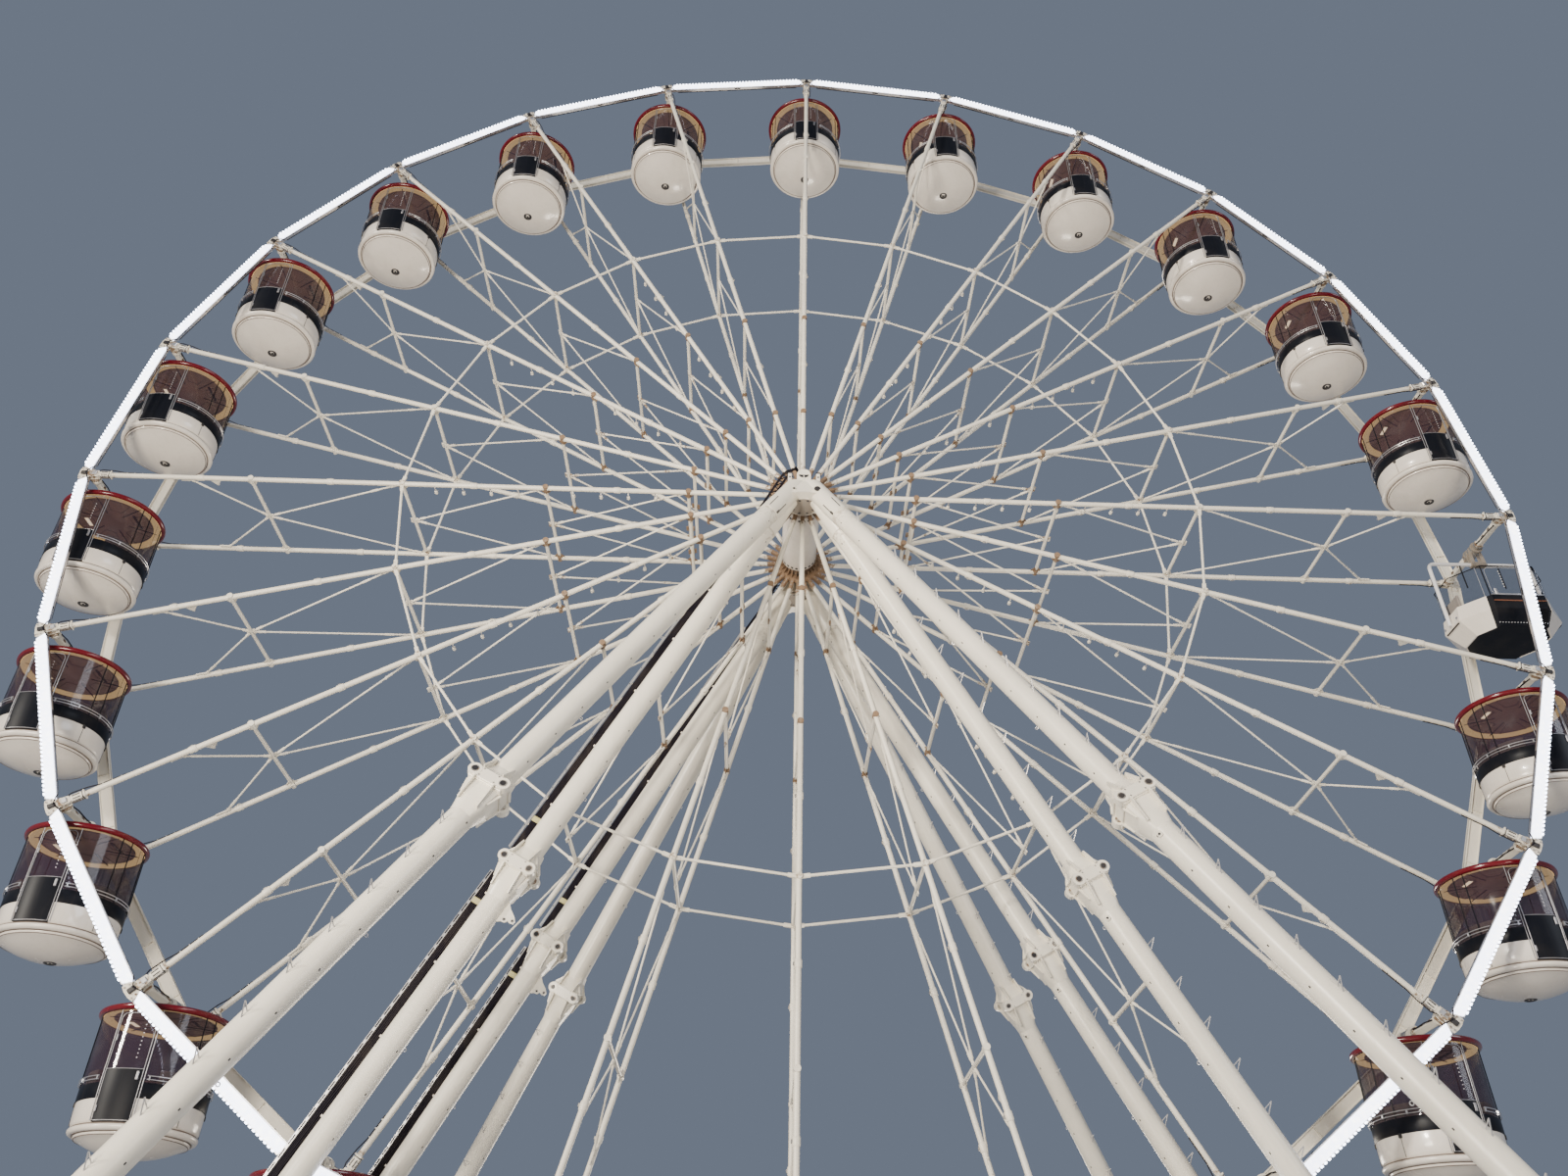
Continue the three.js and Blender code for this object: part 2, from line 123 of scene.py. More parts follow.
class WheelSizes(PropertyGroup):
    """Sizes of the parts that are modelled here."""

    chord_radius: length("Chord radius", "Radius of a spoke's two long tubes", 0.051)
    strut_radius: length("Strut radius", "Radius of the tubes that tie a spoke's chords", 0.036)
    rod_radius: length("Rod radius", "Radius of the thin diagonal rods", 0.018)
    ring_bar_radius: length("Ring bar radius", "Radius of the bars between neighbouring spokes", 0.026)
    rim_depth: length("Rim depth", "Depth of a rim beam towards the axle", 0.235)
    bar_depth: length("Light bar depth", "Depth of a lit beam of the front rim", 0.205)
    lamp_pitch: length("Lamp pitch", "Distance between the small lamps on the rim", 0.088)
    leg_radius: length("Leg radius", "Outer radius of a leg's tube", 0.199)
    peg_pitch: length("Peg pitch", "Distance between climbing pegs along a leg", 0.70)
    cabin_segments: IntProperty(
        name="Cabin segments", description="Facets round a cabin",
        default=72, min=24)


class WheelColours(PropertyGroup):
    """Colours of the finishes."""

    paint: colour("Cream paint", "Paint of the lattice, rims and legs", (0.84, 0.79, 0.68))
    rust: colour("Rust", "Rust that runs from the joints", (0.105, 0.042, 0.015))
    shell: colour("Cabin shell", "Moulded shell of the cabins", (0.87, 0.80, 0.71))
    trim: colour("Cabin trim", "Red edge of the cabin roofs", (0.13, 0.002, 0.008))
    lamp: colour("Lamp light", "Light of the rim's lamps", (0.93, 0.94, 1.0))


class StageSettings(PropertyGroup):
    """Light and floor of the stage."""

    key_strength: FloatProperty(
        name="Key light", description="Strength of the soft main light", default=2.5, min=0)
    sky_strength: FloatProperty(
        name="Sky light", description="Strength of the light from all round", default=0.72, min=0)
    low_power: FloatProperty(
        name="Low light", description="Power of the brightest soft light near the ground",
        default=3600.0, min=0)
    floor_size: length("Floor size", "Side of the floor", 400.0)


# Meshes: each shape is a pair of points and faces, in metres


def tube(start, end, radius, sides=12, end_radius=None):
    """Closed straight tube from one point to another."""
    start, end = np.array(start, float), np.array(end, float)
    way = end - start
    way /= np.linalg.norm(way)
    helper = np.array((0.0, 0.0, 1.0)) if abs(way[2]) < 0.9 else np.array((0.0, 1.0, 0.0))
    side = np.cross(helper, way)
    side /= np.linalg.norm(side)
    up = np.cross(way, side)
    turn = np.arange(sides) * 2 * math.pi / sides
    ring = np.cos(turn)[:, None] * side + np.sin(turn)[:, None] * up
    last = radius if end_radius is None else end_radius
    points = np.vstack((start + ring * radius, end + ring * last))
    faces = [(i, (i + 1) % sides, sides + (i + 1) % sides, sides + i) for i in range(sides)]
    faces += [tuple(reversed(range(sides))), tuple(range(sides, 2 * sides))]
    return points, faces


def sweep(path, radius, sides=10, closed=False):
    """Tube along a line of points, with flat ends unless it is closed."""
    path = np.array(path, float)
    count = len(path)
    if closed:
        ways = np.roll(path, -1, 0) - np.roll(path, 1, 0)
    else:
        ways = np.gradient(path, axis=0)
    ways /= np.linalg.norm(ways, axis=1)[:, None]
    side = np.cross(ways[0], (0.31, 0.52, 0.79))
    side /= np.linalg.norm(side)
    turn = np.arange(sides) * 2 * math.pi / sides
    points = []
    for at, way in zip(path, ways):
        side = side - way * side.dot(way)
        side /= np.linalg.norm(side)
        up = np.cross(way, side)
        points.append(at + radius * (np.cos(turn)[:, None] * side + np.sin(turn)[:, None] * up))
    faces = []
    for k in range(count if closed else count - 1):
        low, high = k * sides, (k + 1) % count * sides
        for i in range(sides):
            j = (i + 1) % sides
            faces.append((low + i, low + j, high + j, high + i))
    if not closed:
        faces.append(tuple(reversed(range(sides))))
        faces.append(tuple(range((count - 1) * sides, count * sides)))
    return np.vstack(points), faces


def box(size, centre=(0, 0, 0), edge=0.0):
    """Box with cut edges."""
    half = np.array(size, float) / 2
    cut = min(edge, half.min() * 0.9)
    signs = [(x, y, z) for x in (-1, 1) for y in (-1, 1) for z in (-1, 1)]
    if cut <= 0:
        points = np.array(signs, float) * half + centre
        faces = [(0, 1, 3, 2), (4, 6, 7, 5), (0, 4, 5, 1), (2, 3, 7, 6), (0, 2, 6, 4), (1, 5, 7, 3)]
        return points, faces
    points = []
    for sign in signs:
        corner = np.array(sign, float)
        for axis in range(3):
            at = corner * (half - cut)
            at[axis] = corner[axis] * half[axis]
            points.append(at)
    index = {sign: 3 * i for i, sign in enumerate(signs)}
    faces = []
    for axis in range(3):
        u, v = (axis + 1) % 3, (axis + 2) % 3
        for s in (-1, 1):
            around = []
            for a, b in ((-1, -1), (1, -1), (1, 1), (-1, 1)):
                sign = [0, 0, 0]
                sign[axis], sign[u], sign[v] = s, a, b
                around.append(index[tuple(sign)] + axis)
            faces.append(tuple(around))
        for a in (-1, 1):
            for b in (-1, 1):
                low, high = [0, 0, 0], [0, 0, 0]
                low[axis], high[axis] = -1, 1
                low[u] = high[u] = a
                low[v] = high[v] = b
                p, q = index[tuple(low)], index[tuple(high)]
                faces.append((p + u, q + u, q + v, p + v))
    faces += [(index[s], index[s] + 1, index[s] + 2) for s in signs]
    points = np.array(points)
    return points + np.array(centre, float), outward(points, faces)


def outward(points, faces):
    """Faces of a convex shape about its own middle, turned so that they point out."""
    middle = points.mean(0)
    turned = []
    for face in faces:
        a, b, c = points[face[0]], points[face[1]], points[face[2]]
        out = points[list(face)].mean(0) - middle
        turned.append(face if np.cross(b - a, c - a).dot(out) >= 0 else tuple(reversed(face)))
    return turned


def lathe(profile, segments):
    """Closed body of a profile of radius and height turned about Z; it closes on itself or on the axis."""
    rows, points = [], []
    turn = np.arange(segments) * 2 * math.pi / segments
    for radius, height in profile:
        if radius < 1e-6:
            rows.append([len(points)] * segments)
            points.append((0.0, 0.0, height))
        else:
            rows.append(list(range(len(points), len(points) + segments)))
            points += [(radius * math.cos(t), radius * math.sin(t), height) for t in turn]
    pairs = list(zip(rows, rows[1:]))
    if profile[0][0] > 1e-6:
        pairs.append((rows[-1], rows[0]))
    faces = []
    for low, high in pairs:
        for i in range(segments):
            j = (i + 1) % segments
            face = [low[i], low[j], high[j], high[i]]
            faces.append(tuple(dict.fromkeys(face)))
    return np.array(points), faces


def prism(outline, low, high):
    """Flat outline, counter-clockwise seen from above, raised from one height to another."""
    count = len(outline)
    points = [(x, y, low) for x, y in outline] + [(x, y, high) for x, y in outline]
    faces = [(i, (i + 1) % count, count + (i + 1) % count, count + i) for i in range(count)]
    faces += [tuple(reversed(range(count))), tuple(range(count, 2 * count))]
    return np.array(points, float), faces


def loft(low_outline, low, high_outline, high):
    """Closed body between two outlines with the same number of points."""
    count = len(low_outline)
    points = [(x, y, low) for x, y in low_outline] + [(x, y, high) for x, y in high_outline]
    return np.array(points, float), prism(low_outline, low, high)[1][:count + 2]


def plate_on(surface, across, along, outer, inner):
    """Closed plate between two lifts of a surface, over a grid of its two coordinates."""
    wide, tall = len(across), len(along)
    points = [surface(u, v, lift) for lift in (outer, inner) for v in along for u in across]
    size = wide * tall
    faces = []
    for row in range(tall - 1):
        for i in range(wide - 1):
            a = row * wide + i
            quad = (a, a + 1, a + wide + 1, a + wide)
            faces.append(quad)
            faces.append(tuple(size + k for k in reversed(quad)))
    border = list(range(wide)) + [row * wide + wide - 1 for row in range(1, tall)]
    border += [(tall - 1) * wide + i for i in reversed(range(wide - 1))]
    border += [row * wide for row in reversed(range(1, tall - 1))]
    faces += [(a, size + a, size + b, b) for a, b in zip(border, border[1:] + border[:1])]
    return np.array(points, float), faces


def moved(shape, place):
    """The shape carried by a 4 by 4 matrix."""
    points, faces = shape
    place = np.array(place, float)
    return points @ place[:3, :3].T + place[:3, 3], faces


def frame_from(x, y, z, origin=(0, 0, 0)):
    """Matrix with the given axes and origin."""
    place = np.eye(4)
    place[:3, 0], place[:3, 1], place[:3, 2], place[:3, 3] = x, y, z, origin
    return place


def axes_at(origin, z_axis, x_hint):
    """Matrix whose Z runs along one direction and whose X lies near another."""
    z = np.array(z_axis, float)
    z /= np.linalg.norm(z)
    x = np.array(x_hint, float)
    x -= z * x.dot(z)
    x /= np.linalg.norm(x)
    return frame_from(x, np.cross(z, x), z, origin)


def facing_front(origin=(0, 0, 0)):
    """Frame whose own Y is up and whose own Z looks to the front."""
    return frame_from((1, 0, 0), (0, 0, 1), (0, -1, 0), origin)


def outwards(turn):
    """Level unit vector at a turn about Z."""
    return np.array((math.cos(turn), math.sin(turn), 0.0))


def level_ring(radius, height, count):
    """Points of a level circle."""
    return [(radius * math.cos(a), radius * math.sin(a), height)
            for a in np.arange(count) * 2 * math.pi / count]


def on_wheel(angle):
    """From a spoke that points up from the axle to its place on the wheel."""
    c, s = math.cos(angle), math.sin(angle)
    return frame_from((c, 0, -s), (0, 1, 0), (s, 0, c), (0, 0, AXLE_Z))


def spoke_angle(index):
    """Angle of a spoke from straight up; half an index lies between two spokes."""
    return WHEEL_TURN + index * STEP


def in_scene(name, data):
    """New object, linked to the scene."""
    made = bpy.data.objects.new(name, data)
    bpy.context.scene.collection.objects.link(made)
    return made


class Piece:
    """Gathers shapes, each with its finish and its share of rust, into one mesh."""

    def __init__(self, name):
        self.name = name
        self.points, self.faces, self.finish_of, self.stain = [], [], [], []
        self.finishes = []
        self.count = 0

    def add(self, shape, finish, stain=0.0, place=None):
        """Take in one shape; its rust is one share for all its points or a share for each."""
        points, faces = shape if place is None else moved(shape, place)
        if finish not in self.finishes:
            self.finishes.append(finish)
        slot = self.finishes.index(finish)
        self.points.append(points)
        self.faces += [tuple(i + self.count for i in face) for face in faces]
        self.finish_of += [slot] * len(faces)
        self.stain.append(np.broadcast_to(np.asarray(stain, float), (len(points),)))
        self.count += len(points)

    def rod(self, start, end, radius, finish, sides=8, stain=0.0, reach=0.25, place=None):
        """Tube whose ends carry rust over a short reach."""
        start, end = np.array(start, float), np.array(end, float)
        length = np.linalg.norm(end - start)
        share = min(0.4, reach / length)
        stops = (0.0, share * 0.35, share, 1 - share, 1 - share * 0.35, 1.0)
        rust = (1.0, 0.75, 0.0, 0.0, 0.75, 1.0)
        path = [start + (end - start) * stop for stop in stops]
        shape = sweep(path, radius, sides)
        self.add(shape, finish, np.repeat(np.array(rust) * stain, sides), place)

    def bolts(self, places, axis, radius, height, finish="steel", stain=0.4, place=None):
        """Hexagon heads that stand out along an axis."""
        axis = np.array(axis, float)
        for at in places:
            at = np.array(at, float)
            self.add(tube(at, at + axis * height, radius, 6), finish, stain, place)

    def build(self, body, slot):
        """Make the mesh and its object, on a body where one is given; the slot is not used."""
        mesh = bpy.data.meshes.new(self.name)
        mesh.from_pydata(np.vstack(self.points), [], self.faces)
        for finish in self.finishes:
            mesh.materials.append(FINISHES[finish])
        mesh.polygons.foreach_set("material_index", self.finish_of)
        mesh.polygons.foreach_set("use_smooth", [True] * len(mesh.polygons))
        attribute = mesh.attributes.new("stain", "FLOAT", "POINT")
        attribute.data.foreach_set("value", np.concatenate(self.stain).astype(np.float32))
        mesh.set_sharp_from_angle(angle=SHARP_ANGLE)
        mesh.validate()
        piece = in_scene(self.name, mesh)
        if body:
            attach(piece, body)
        return piece


# Finishes

FINISHES = {}
BUMP_DISTANCE = 0.004
STREAK_SCALE = (5.0, 5.0, 0.7)
RUN_SCALE = (7.0, 7.0, 0.9)
DIRT_TONE = (0.30, 0.25, 0.19, 1.0)
PALE_RUST_TONE = (0.22, 0.115, 0.035, 1.0)
DUST_TONE = (0.36, 0.29, 0.21, 1.0)
SMEAR_TONE = (0.16, 0.15, 0.15, 1.0)
DIFFUSER_TONE = (0.85, 0.86, 0.9, 1.0)

# Painted and bare metal: tone, dirt, rust, gloss, bump and metallic share.
# A row with no tone takes the cream paint's.
PAINTED = {
    "cream_paint": (None, 0.22, 0.9, 0.36, 0.08, 0.0),
    "leg_paint": (None, 0.17, 0.42, 0.30, 0.08, 0.0),
    "ground_paint": ((0.52, 0.50, 0.45), 0.8, 0.9, 0.5, 0.2, 0.0),
    # On the boss under each head this dark brown is painted shade of the head's underside; on the hub's
    # flanges it is partly painted shade about the drum's ends.
    "bearing_brown": ((0.27, 0.23, 0.19), 0.7, 0.7, 0.5, 0.2, 0.0),
    "steel": ((0.50, 0.48, 0.45), 0.5, 0.9, 0.34, 0.15, 0.75),
    "rail_metal": ((0.76, 0.75, 0.76), 0.3, 0.1, 0.28, 0.05, 0.85),
    "black_paint": ((0.020, 0.019, 0.022), 0.18, 0.1, 0.4, 0.1, 0.0),
    "door_steel": ((0.34, 0.335, 0.35), 0.3, 0.1, 0.42, 0.05, 0.6),
    "signal_yellow": ((0.46, 0.42, 0.20), 0.8, 0.5, 0.4, 0.1, 0.0),
}

# Moulded surfaces: tone, dust, gloss, bump and what else the shader needs.
# A row with no tone takes a colour of its own from the settings.
MOULDED = {
    "cable_black": ((0.008, 0.006, 0.011), 0.08, 0.55, 0.2, {"shine": 0.15}),
    "shell_white": (None, 0.22, 0.20, 0.04, {"coat": 0.35}),
    # Painted light: the cream cove glows brightly and the brown ceiling dimly, as if lit from below. The
    # cove's bright cream against the darker brown middle is painted light and shade.
    "ceiling_cream": ((0.90, 0.60, 0.27), 0.10, 0.35, 0.04, {"glow": 1.05}),
    "ceiling_panel": ((0.46, 0.29, 0.21), 0.2, 0.4, 0.04, {"glow": 0.16}),
    # On the dish's rings this dark groove tone is painted shade in the grooves.
    "groove": ((0.16, 0.12, 0.10), 0.3, 0.5, 0.05, {}),
    "roof_grey": ((0.52, 0.51, 0.50), 0.7, 0.35, 0.06, {}),
    "trim_red": (None, 0.04, 0.18, 0.03, {"coat": 0.3}),
    "dark_panel": ((0.006, 0.007, 0.011), 0.04, 0.36, 0.02, {"shine": 0.12}),
    "rubber": ((0.014, 0.014, 0.016), 0.2, 0.6, 0.15, {}),
    "seat": ((0.34, 0.30, 0.27), 0.2, 0.5, 0.1, {}),
    "hoop_white": ((0.80, 0.79, 0.80), 0.15, 0.28, 0.03, {}),
    "copper": ((0.55, 0.20, 0.10), 0.1, 0.3, 0.03, {"metallic": 0.6}),
}


def new_group(name, inputs, outputs):
    """Empty shader node group with named sockets."""
    group = bpy.data.node_groups.new(name, "ShaderNodeTree")
    for label, kind, default in inputs:
        socket = group.interface.new_socket(name=label, in_out="INPUT", socket_type=kind)
        socket.default_value = default
    for label, kind in outputs:
        group.interface.new_socket(name=label, in_out="OUTPUT", socket_type=kind)
    entry = group.nodes.new("NodeGroupInput")
    leave = group.nodes.new("NodeGroupOutput")
    return group, entry, leave


class Net:
    """Node tree with short ways to add the nodes that the finishes need."""

    def __init__(self, tree):
        self.nodes, self.links = tree.nodes, tree.links

    def put(self, value, socket):
        """Link an output to a socket, or set the socket to a plain value."""
        if isinstance(value, bpy.types.NodeSocket):
            self.links.new(value, socket)
        else:
            socket.default_value = value

    def place(self):
        """Position on the object."""
        return self.nodes.new("ShaderNodeTexCoord").outputs["Object"]

    def stretched(self, vector, scale):
        """Position scaled by a different amount along each axis."""
        mapping = self.nodes.new("ShaderNodeMapping")
        mapping.inputs["Scale"].default_value = scale
        self.put(vector, mapping.inputs["Vector"])
        return mapping.outputs["Vector"]

    def noise(self, vector, scale, detail=4.0, roughness=0.55):
        """Cloudy pattern from 0 to 1."""
        texture = self.nodes.new("ShaderNodeTexNoise")
        for label, value in (("Scale", scale), ("Detail", detail), ("Roughness", roughness),
                             ("Vector", vector)):
            self.put(value, texture.inputs[label])
        return texture.outputs["Fac"]

    def ramp(self, value, low, high):
        """Value stretched so that low becomes 0 and high becomes 1."""
        spread = self.nodes.new("ShaderNodeMapRange")
        spread.interpolation_type = "SMOOTHSTEP"
        for label, setting in (("From Min", low), ("From Max", high), ("Value", value)):
            self.put(setting, spread.inputs[label])
        return spread.outputs["Result"]

    def maths(self, operation, first, second):
        """Sum, difference or product, kept between 0 and 1."""
        node = self.nodes.new("ShaderNodeMath")
        node.operation = operation
        node.use_clamp = True
        for socket, value in zip(node.inputs, (first, second)):
            self.put(value, socket)
        return node.outputs[0]

    def plus(self, first, second):
        """Sum of two values."""
        return self.maths("ADD", first, second)

    def times(self, first, second):
        """Product of two values."""
        return self.maths("MULTIPLY", first, second)

    def blend(self, share, first, second):
        """Colour between two others."""
        node = self.nodes.new("ShaderNodeMix")
        node.data_type = "RGBA"
        for label, value in (("Factor", share), ("A", first), ("B", second)):
            self.put(value, node.inputs[label])
        return node.outputs["Result"]


def rgba(colour):
    """Colour with full alpha."""
    return (colour[0], colour[1], colour[2], 1.0)


def weathered_paint_group(colours):
    """Paint that has gone dull in patches, with dirt streaks and rust where the mesh says so."""
    group, entry, leave = new_group(
        "weathered_paint",
        [("Paint", "NodeSocketColor", rgba(colours.paint)), ("Dirt", "NodeSocketFloat", 0.35),
         ("Rust", "NodeSocketFloat", 0.6), ("Gloss", "NodeSocketFloat", 0.42)],
        [("Color", "NodeSocketColor"), ("Roughness", "NodeSocketFloat"), ("Height", "NodeSocketFloat")])
    net = Net(group)
    place = net.place()
    patches = net.ramp(net.noise(place, 0.9, 3.0), 0.42, 0.72)
    streaks = net.ramp(net.noise(net.stretched(place, STREAK_SCALE), 1.6, 6.0, 0.6), 0.48, 0.78)
    specks = net.ramp(net.noise(place, 34.0, 3.0), 0.60, 0.74)
    stain = net.nodes.new("ShaderNodeAttribute")
    stain.attribute_name = "stain"
    stained = stain.outputs["Fac"]
    broken = net.noise(place, 14.0, 5.0, 0.65)
    rust = net.ramp(net.plus(stained, net.maths("SUBTRACT", broken, 0.42)), 0.44, 0.64)
    rust = net.times(rust, net.ramp(stained, 0.02, 0.3))
    rust = net.times(rust, entry.outputs["Rust"])
    fleck = net.times(specks, 0.05)
    rust = net.plus(rust, fleck)
    dirt = net.times(net.plus(patches, streaks), entry.outputs["Dirt"])
    dull = net.blend(net.times(dirt, 0.55), entry.outputs["Paint"], DIRT_TONE)
    rust_tone = net.blend(broken, rgba(colours.rust), PALE_RUST_TONE)
    net.put(net.blend(rust, dull, rust_tone), leave.inputs["Color"])
    rough = net.plus(net.times(dirt, 0.3), net.times(rust, 0.4))
    net.put(net.plus(rough, entry.outputs["Gloss"]), leave.inputs["Roughness"])
    net.put(net.plus(net.times(broken, rust), fleck), leave.inputs["Height"])
    return group


def moulded_group():
    """Moulded plastic: soft cloudy tone, fine orange peel and dust that gathers in patches."""
    group, entry, leave = new_group(
        "moulded_shell",
        [("Tone", "NodeSocketColor", (0.8, 0.75, 0.65, 1.0)), ("Dust", "NodeSocketFloat", 0.3),
         ("Gloss", "NodeSocketFloat", 0.25)],
        [("Color", "NodeSocketColor"), ("Roughness", "NodeSocketFloat"), ("Height", "NodeSocketFloat")])
    net = Net(group)
    place = net.place()
    cloud = net.ramp(net.noise(place, 1.7, 4.0), 0.4, 0.7)
    runs = net.ramp(net.noise(net.stretched(place, RUN_SCALE), 1.5, 5.0), 0.5, 0.8)
    dust = net.times(net.plus(cloud, runs), entry.outputs["Dust"])
    net.put(net.blend(net.times(dust, 0.6), entry.outputs["Tone"], DUST_TONE), leave.inputs["Color"])
    net.put(net.plus(net.times(dust, 0.35), entry.outputs["Gloss"]), leave.inputs["Roughness"])
    net.put(net.noise(place, 160.0, 2.0), leave.inputs["Height"])
    return group


def new_finish(name):
    """Material kept under its name, with its node tree and main shader."""
    material = bpy.data.materials.new(name)
    material.use_nodes = True
    FINISHES[name] = material
    net = Net(material.node_tree)
    return net, net.nodes["Principled BSDF"]


def finish_from_group(name, group, values, bump, metallic=0.0, coat=0.0, glow=0.0, shine=0.5):
    """Material whose colour, roughness and bump come from a group."""
    net, shader = new_finish(name)
    nodes, links = net.nodes, net.links
    source = nodes.new("ShaderNodeGroup")
    source.node_tree = group
    for label, value in values.items():
        source.inputs[label].default_value = value
    links.new(source.outputs["Color"], shader.inputs["Base Color"])
    links.new(source.outputs["Roughness"], shader.inputs["Roughness"])
    relief = nodes.new("ShaderNodeBump")
    relief.inputs["Strength"].default_value = bump
    relief.inputs["Distance"].default_value = BUMP_DISTANCE
    links.new(source.outputs["Height"], relief.inputs["Height"])
    links.new(relief.outputs["Normal"], shader.inputs["Normal"])
    for label, value in (("Metallic", metallic), ("Coat Weight", coat), ("Specular IOR Level", shine)):
        shader.inputs[label].default_value = value
    if glow:
        links.new(source.outputs["Color"], shader.inputs["Emission Color"])
        shader.inputs["Emission Strength"].default_value = glow


def glass_finish(name, tint, alpha, roughness):
    """Smoked pane that lets the inside show dimly, with faint smears."""
    net, shader = new_finish(name)
    smear = net.ramp(net.noise(net.place(), 2.6, 4.0), 0.45, 0.8)
    net.put(net.plus(net.times(smear, 0.12), roughness), shader.inputs["Roughness"])
    net.put(net.blend(net.times(smear, 0.25), rgba(tint), SMEAR_TONE), shader.inputs["Base Color"])
    net.put(net.plus(net.times(smear, 0.06), alpha), shader.inputs["Alpha"])


def lamp_finish(name, colour, strength, cell):
    """Lit diffuser: bright cells over each lamp behind it, a little dimmer between them."""
    net, shader = new_finish(name)
    cells = net.nodes.new("ShaderNodeTexVoronoi")
    cells.inputs["Scale"].default_value = cell
    net.put(net.place(), cells.inputs["Vector"])
    near = net.ramp(cells.outputs["Distance"], 0.75, 0.15)
    dimmer = (colour[0] * 0.82, colour[1] * 0.86, colour[2], 1.0)
    net.put(net.blend(near, dimmer, rgba(colour)), shader.inputs["Emission Color"])
    shader.inputs["Emission Strength"].default_value = strength
    shader.inputs["Base Color"].default_value = DIFFUSER_TONE
    shader.inputs["Roughness"].default_value = 0.35


def make_finishes(colours):
    """Make every finish from its group and its row of values."""
    paint = weathered_paint_group(colours)
    shell = moulded_group()
    for name, (tone, dirt, rust, gloss, bump, metallic) in PAINTED.items():
        values = {"Paint": rgba(tone or colours.paint), "Dirt": dirt, "Rust": rust, "Gloss": gloss}
        finish_from_group(name, paint, values, bump, metallic)
    own_tones = {"shell_white": colours.shell, "trim_red": colours.trim}
    for name, (tone, dust, gloss, bump, extras) in MOULDED.items():
        values = {"Tone": rgba(tone or own_tones[name]), "Dust": dust, "Gloss": gloss}
        finish_from_group(name, shell, values, bump, **extras)
    # The tinted pane's dark maroon and its cover are partly the glass's own tint and partly painted shade of
    # the dim inside seen through it.
    for name, tint, alpha in (("tinted_glass", (0.040, 0.020, 0.032), 0.43),
                              ("clear_glass", (0.020, 0.024, 0.034), 0.07)):
        glass_finish(name, tint, alpha, 0.03)
    lamp_finish("light_strip", colours.lamp, 6.0, 11.0)
    lamp_finish("lamp_cell", (0.88, 0.92, 1.0), 9.0, 30.0)
    lamp_finish("warm_lamp", (1.0, 0.72, 0.42), 3.0, 20.0)


# Spokes

COUPLING_RADII = (3.9, 6.9, 9.9, 12.6)
COUPLING_HALF = 0.07
LAMP_STUBS = 9
LAMP_STUB_START = 3.1
LAMP_STUB_PITCH = 0.58
WEAR_RADII = (2.4, 5.4, 8.4, 11.5)
WEAR_SHARES = (0.75, 0.6, 0.4, 0.1)
FORK_SHARES = (0.06, 0.94)
TURNBUCKLE_SHARE = 0.80
SLEEVE_BOLTS_Z = NODE_R - 0.105


def spoke_truss(piece, sizes, angle, with_stubs):
    """One spoke: chords, struts, crossed rods, couplings and small lamps."""
    place = on_wheel(angle)
    sides = (-HALF_GAP, HALF_GAP)
    for y in sides:
        piece.rod((0, y, FLANGE_R + 0.004), (0, y, NODE_R - 0.20), sizes.chord_radius, "cream_paint", 14,
                  0.5, 0.4, place)
        end_sleeve(piece, y, sizes, place)
        for radius in COUPLING_RADII:
            coupling(piece, y, radius, sizes.chord_radius, place)
    for radius in STRUT_RADII:
        strut_node(piece, radius, sizes, place)
    for outer_r, inner_r in zip(STRUT_RADII, STRUT_RADII[1:]):
        for y in sides:
            brace(piece, (0, 0, outer_r), (0, y, inner_r), sizes, place)
    for y in sides:
        brace(piece, (0, 0, STRUT_RADII[0]), (0, y, OUTER_BRACE_R), sizes, place)
        piece.add(box((0.03, 0.12, 0.26), (0, y * 0.965, OUTER_BRACE_R), 0.006), "cream_paint", 0.1, place)
    lamp_bracket(piece, place)
    if with_stubs:
        for k in range(LAMP_STUBS):
            lamp_stub(piece, LAMP_STUB_START + k * LAMP_STUB_PITCH, place)


def end_sleeve(piece, y, sizes, place):
    """Clamped sleeve with its bolts and cable clip at a chord's end by the rim."""
    piece.add(box((0.108, 0.108, 0.24), (0, y, NODE_R - 0.122), 0.012), "cream_paint", 0.15, place)
    piece.add(box((0.145, 0.130, 0.030), (0, y, NODE_R - 0.235), 0.008), "cream_paint", 0.3, place)
    for x in (-0.030, 0.030):
        piece.add(box((0.020, 0.112, 0.13), (x, y, SLEEVE_BOLTS_Z), 0.0), "black_paint", 0.0, place)
    piece.add(box((0.12, 0.112, 0.014), (0, y, NODE_R - 0.205), 0.0), "black_paint", 0.0, place)
    for x in (-0.061, 0.061):
        piece.add(box((0.016, 0.085, 0.19), (x, y, SLEEVE_BOLTS_Z), 0.004), "steel", 0.2, place)
        spots = [(x, y, SLEEVE_BOLTS_Z + dz) for dz in (-0.05, 0.06)]
        piece.bolts(spots, (math.copysign(1, x), 0, 0), 0.018, 0.022, place=place)
    along = [(sizes.chord_radius + 0.012, y, NODE_R - 0.95),
             (sizes.chord_radius + 0.014, y - 0.01, NODE_R - 0.5), (0.10, y - 0.02, NODE_R - 0.30),
             (0.11, y - 0.03, NODE_R - 0.05), (0.06, y - 0.04, NODE_R + 0.09)]
    piece.add(sweep(along, 0.010, 6), "cable_black", 0, place)
    for k in range(3):
        piece.add(box((0.03, 0.05, 0.02), (sizes.chord_radius, y, NODE_R - 0.55 - 0.16 * k), 0.004),
                  "steel", 0.2, place)


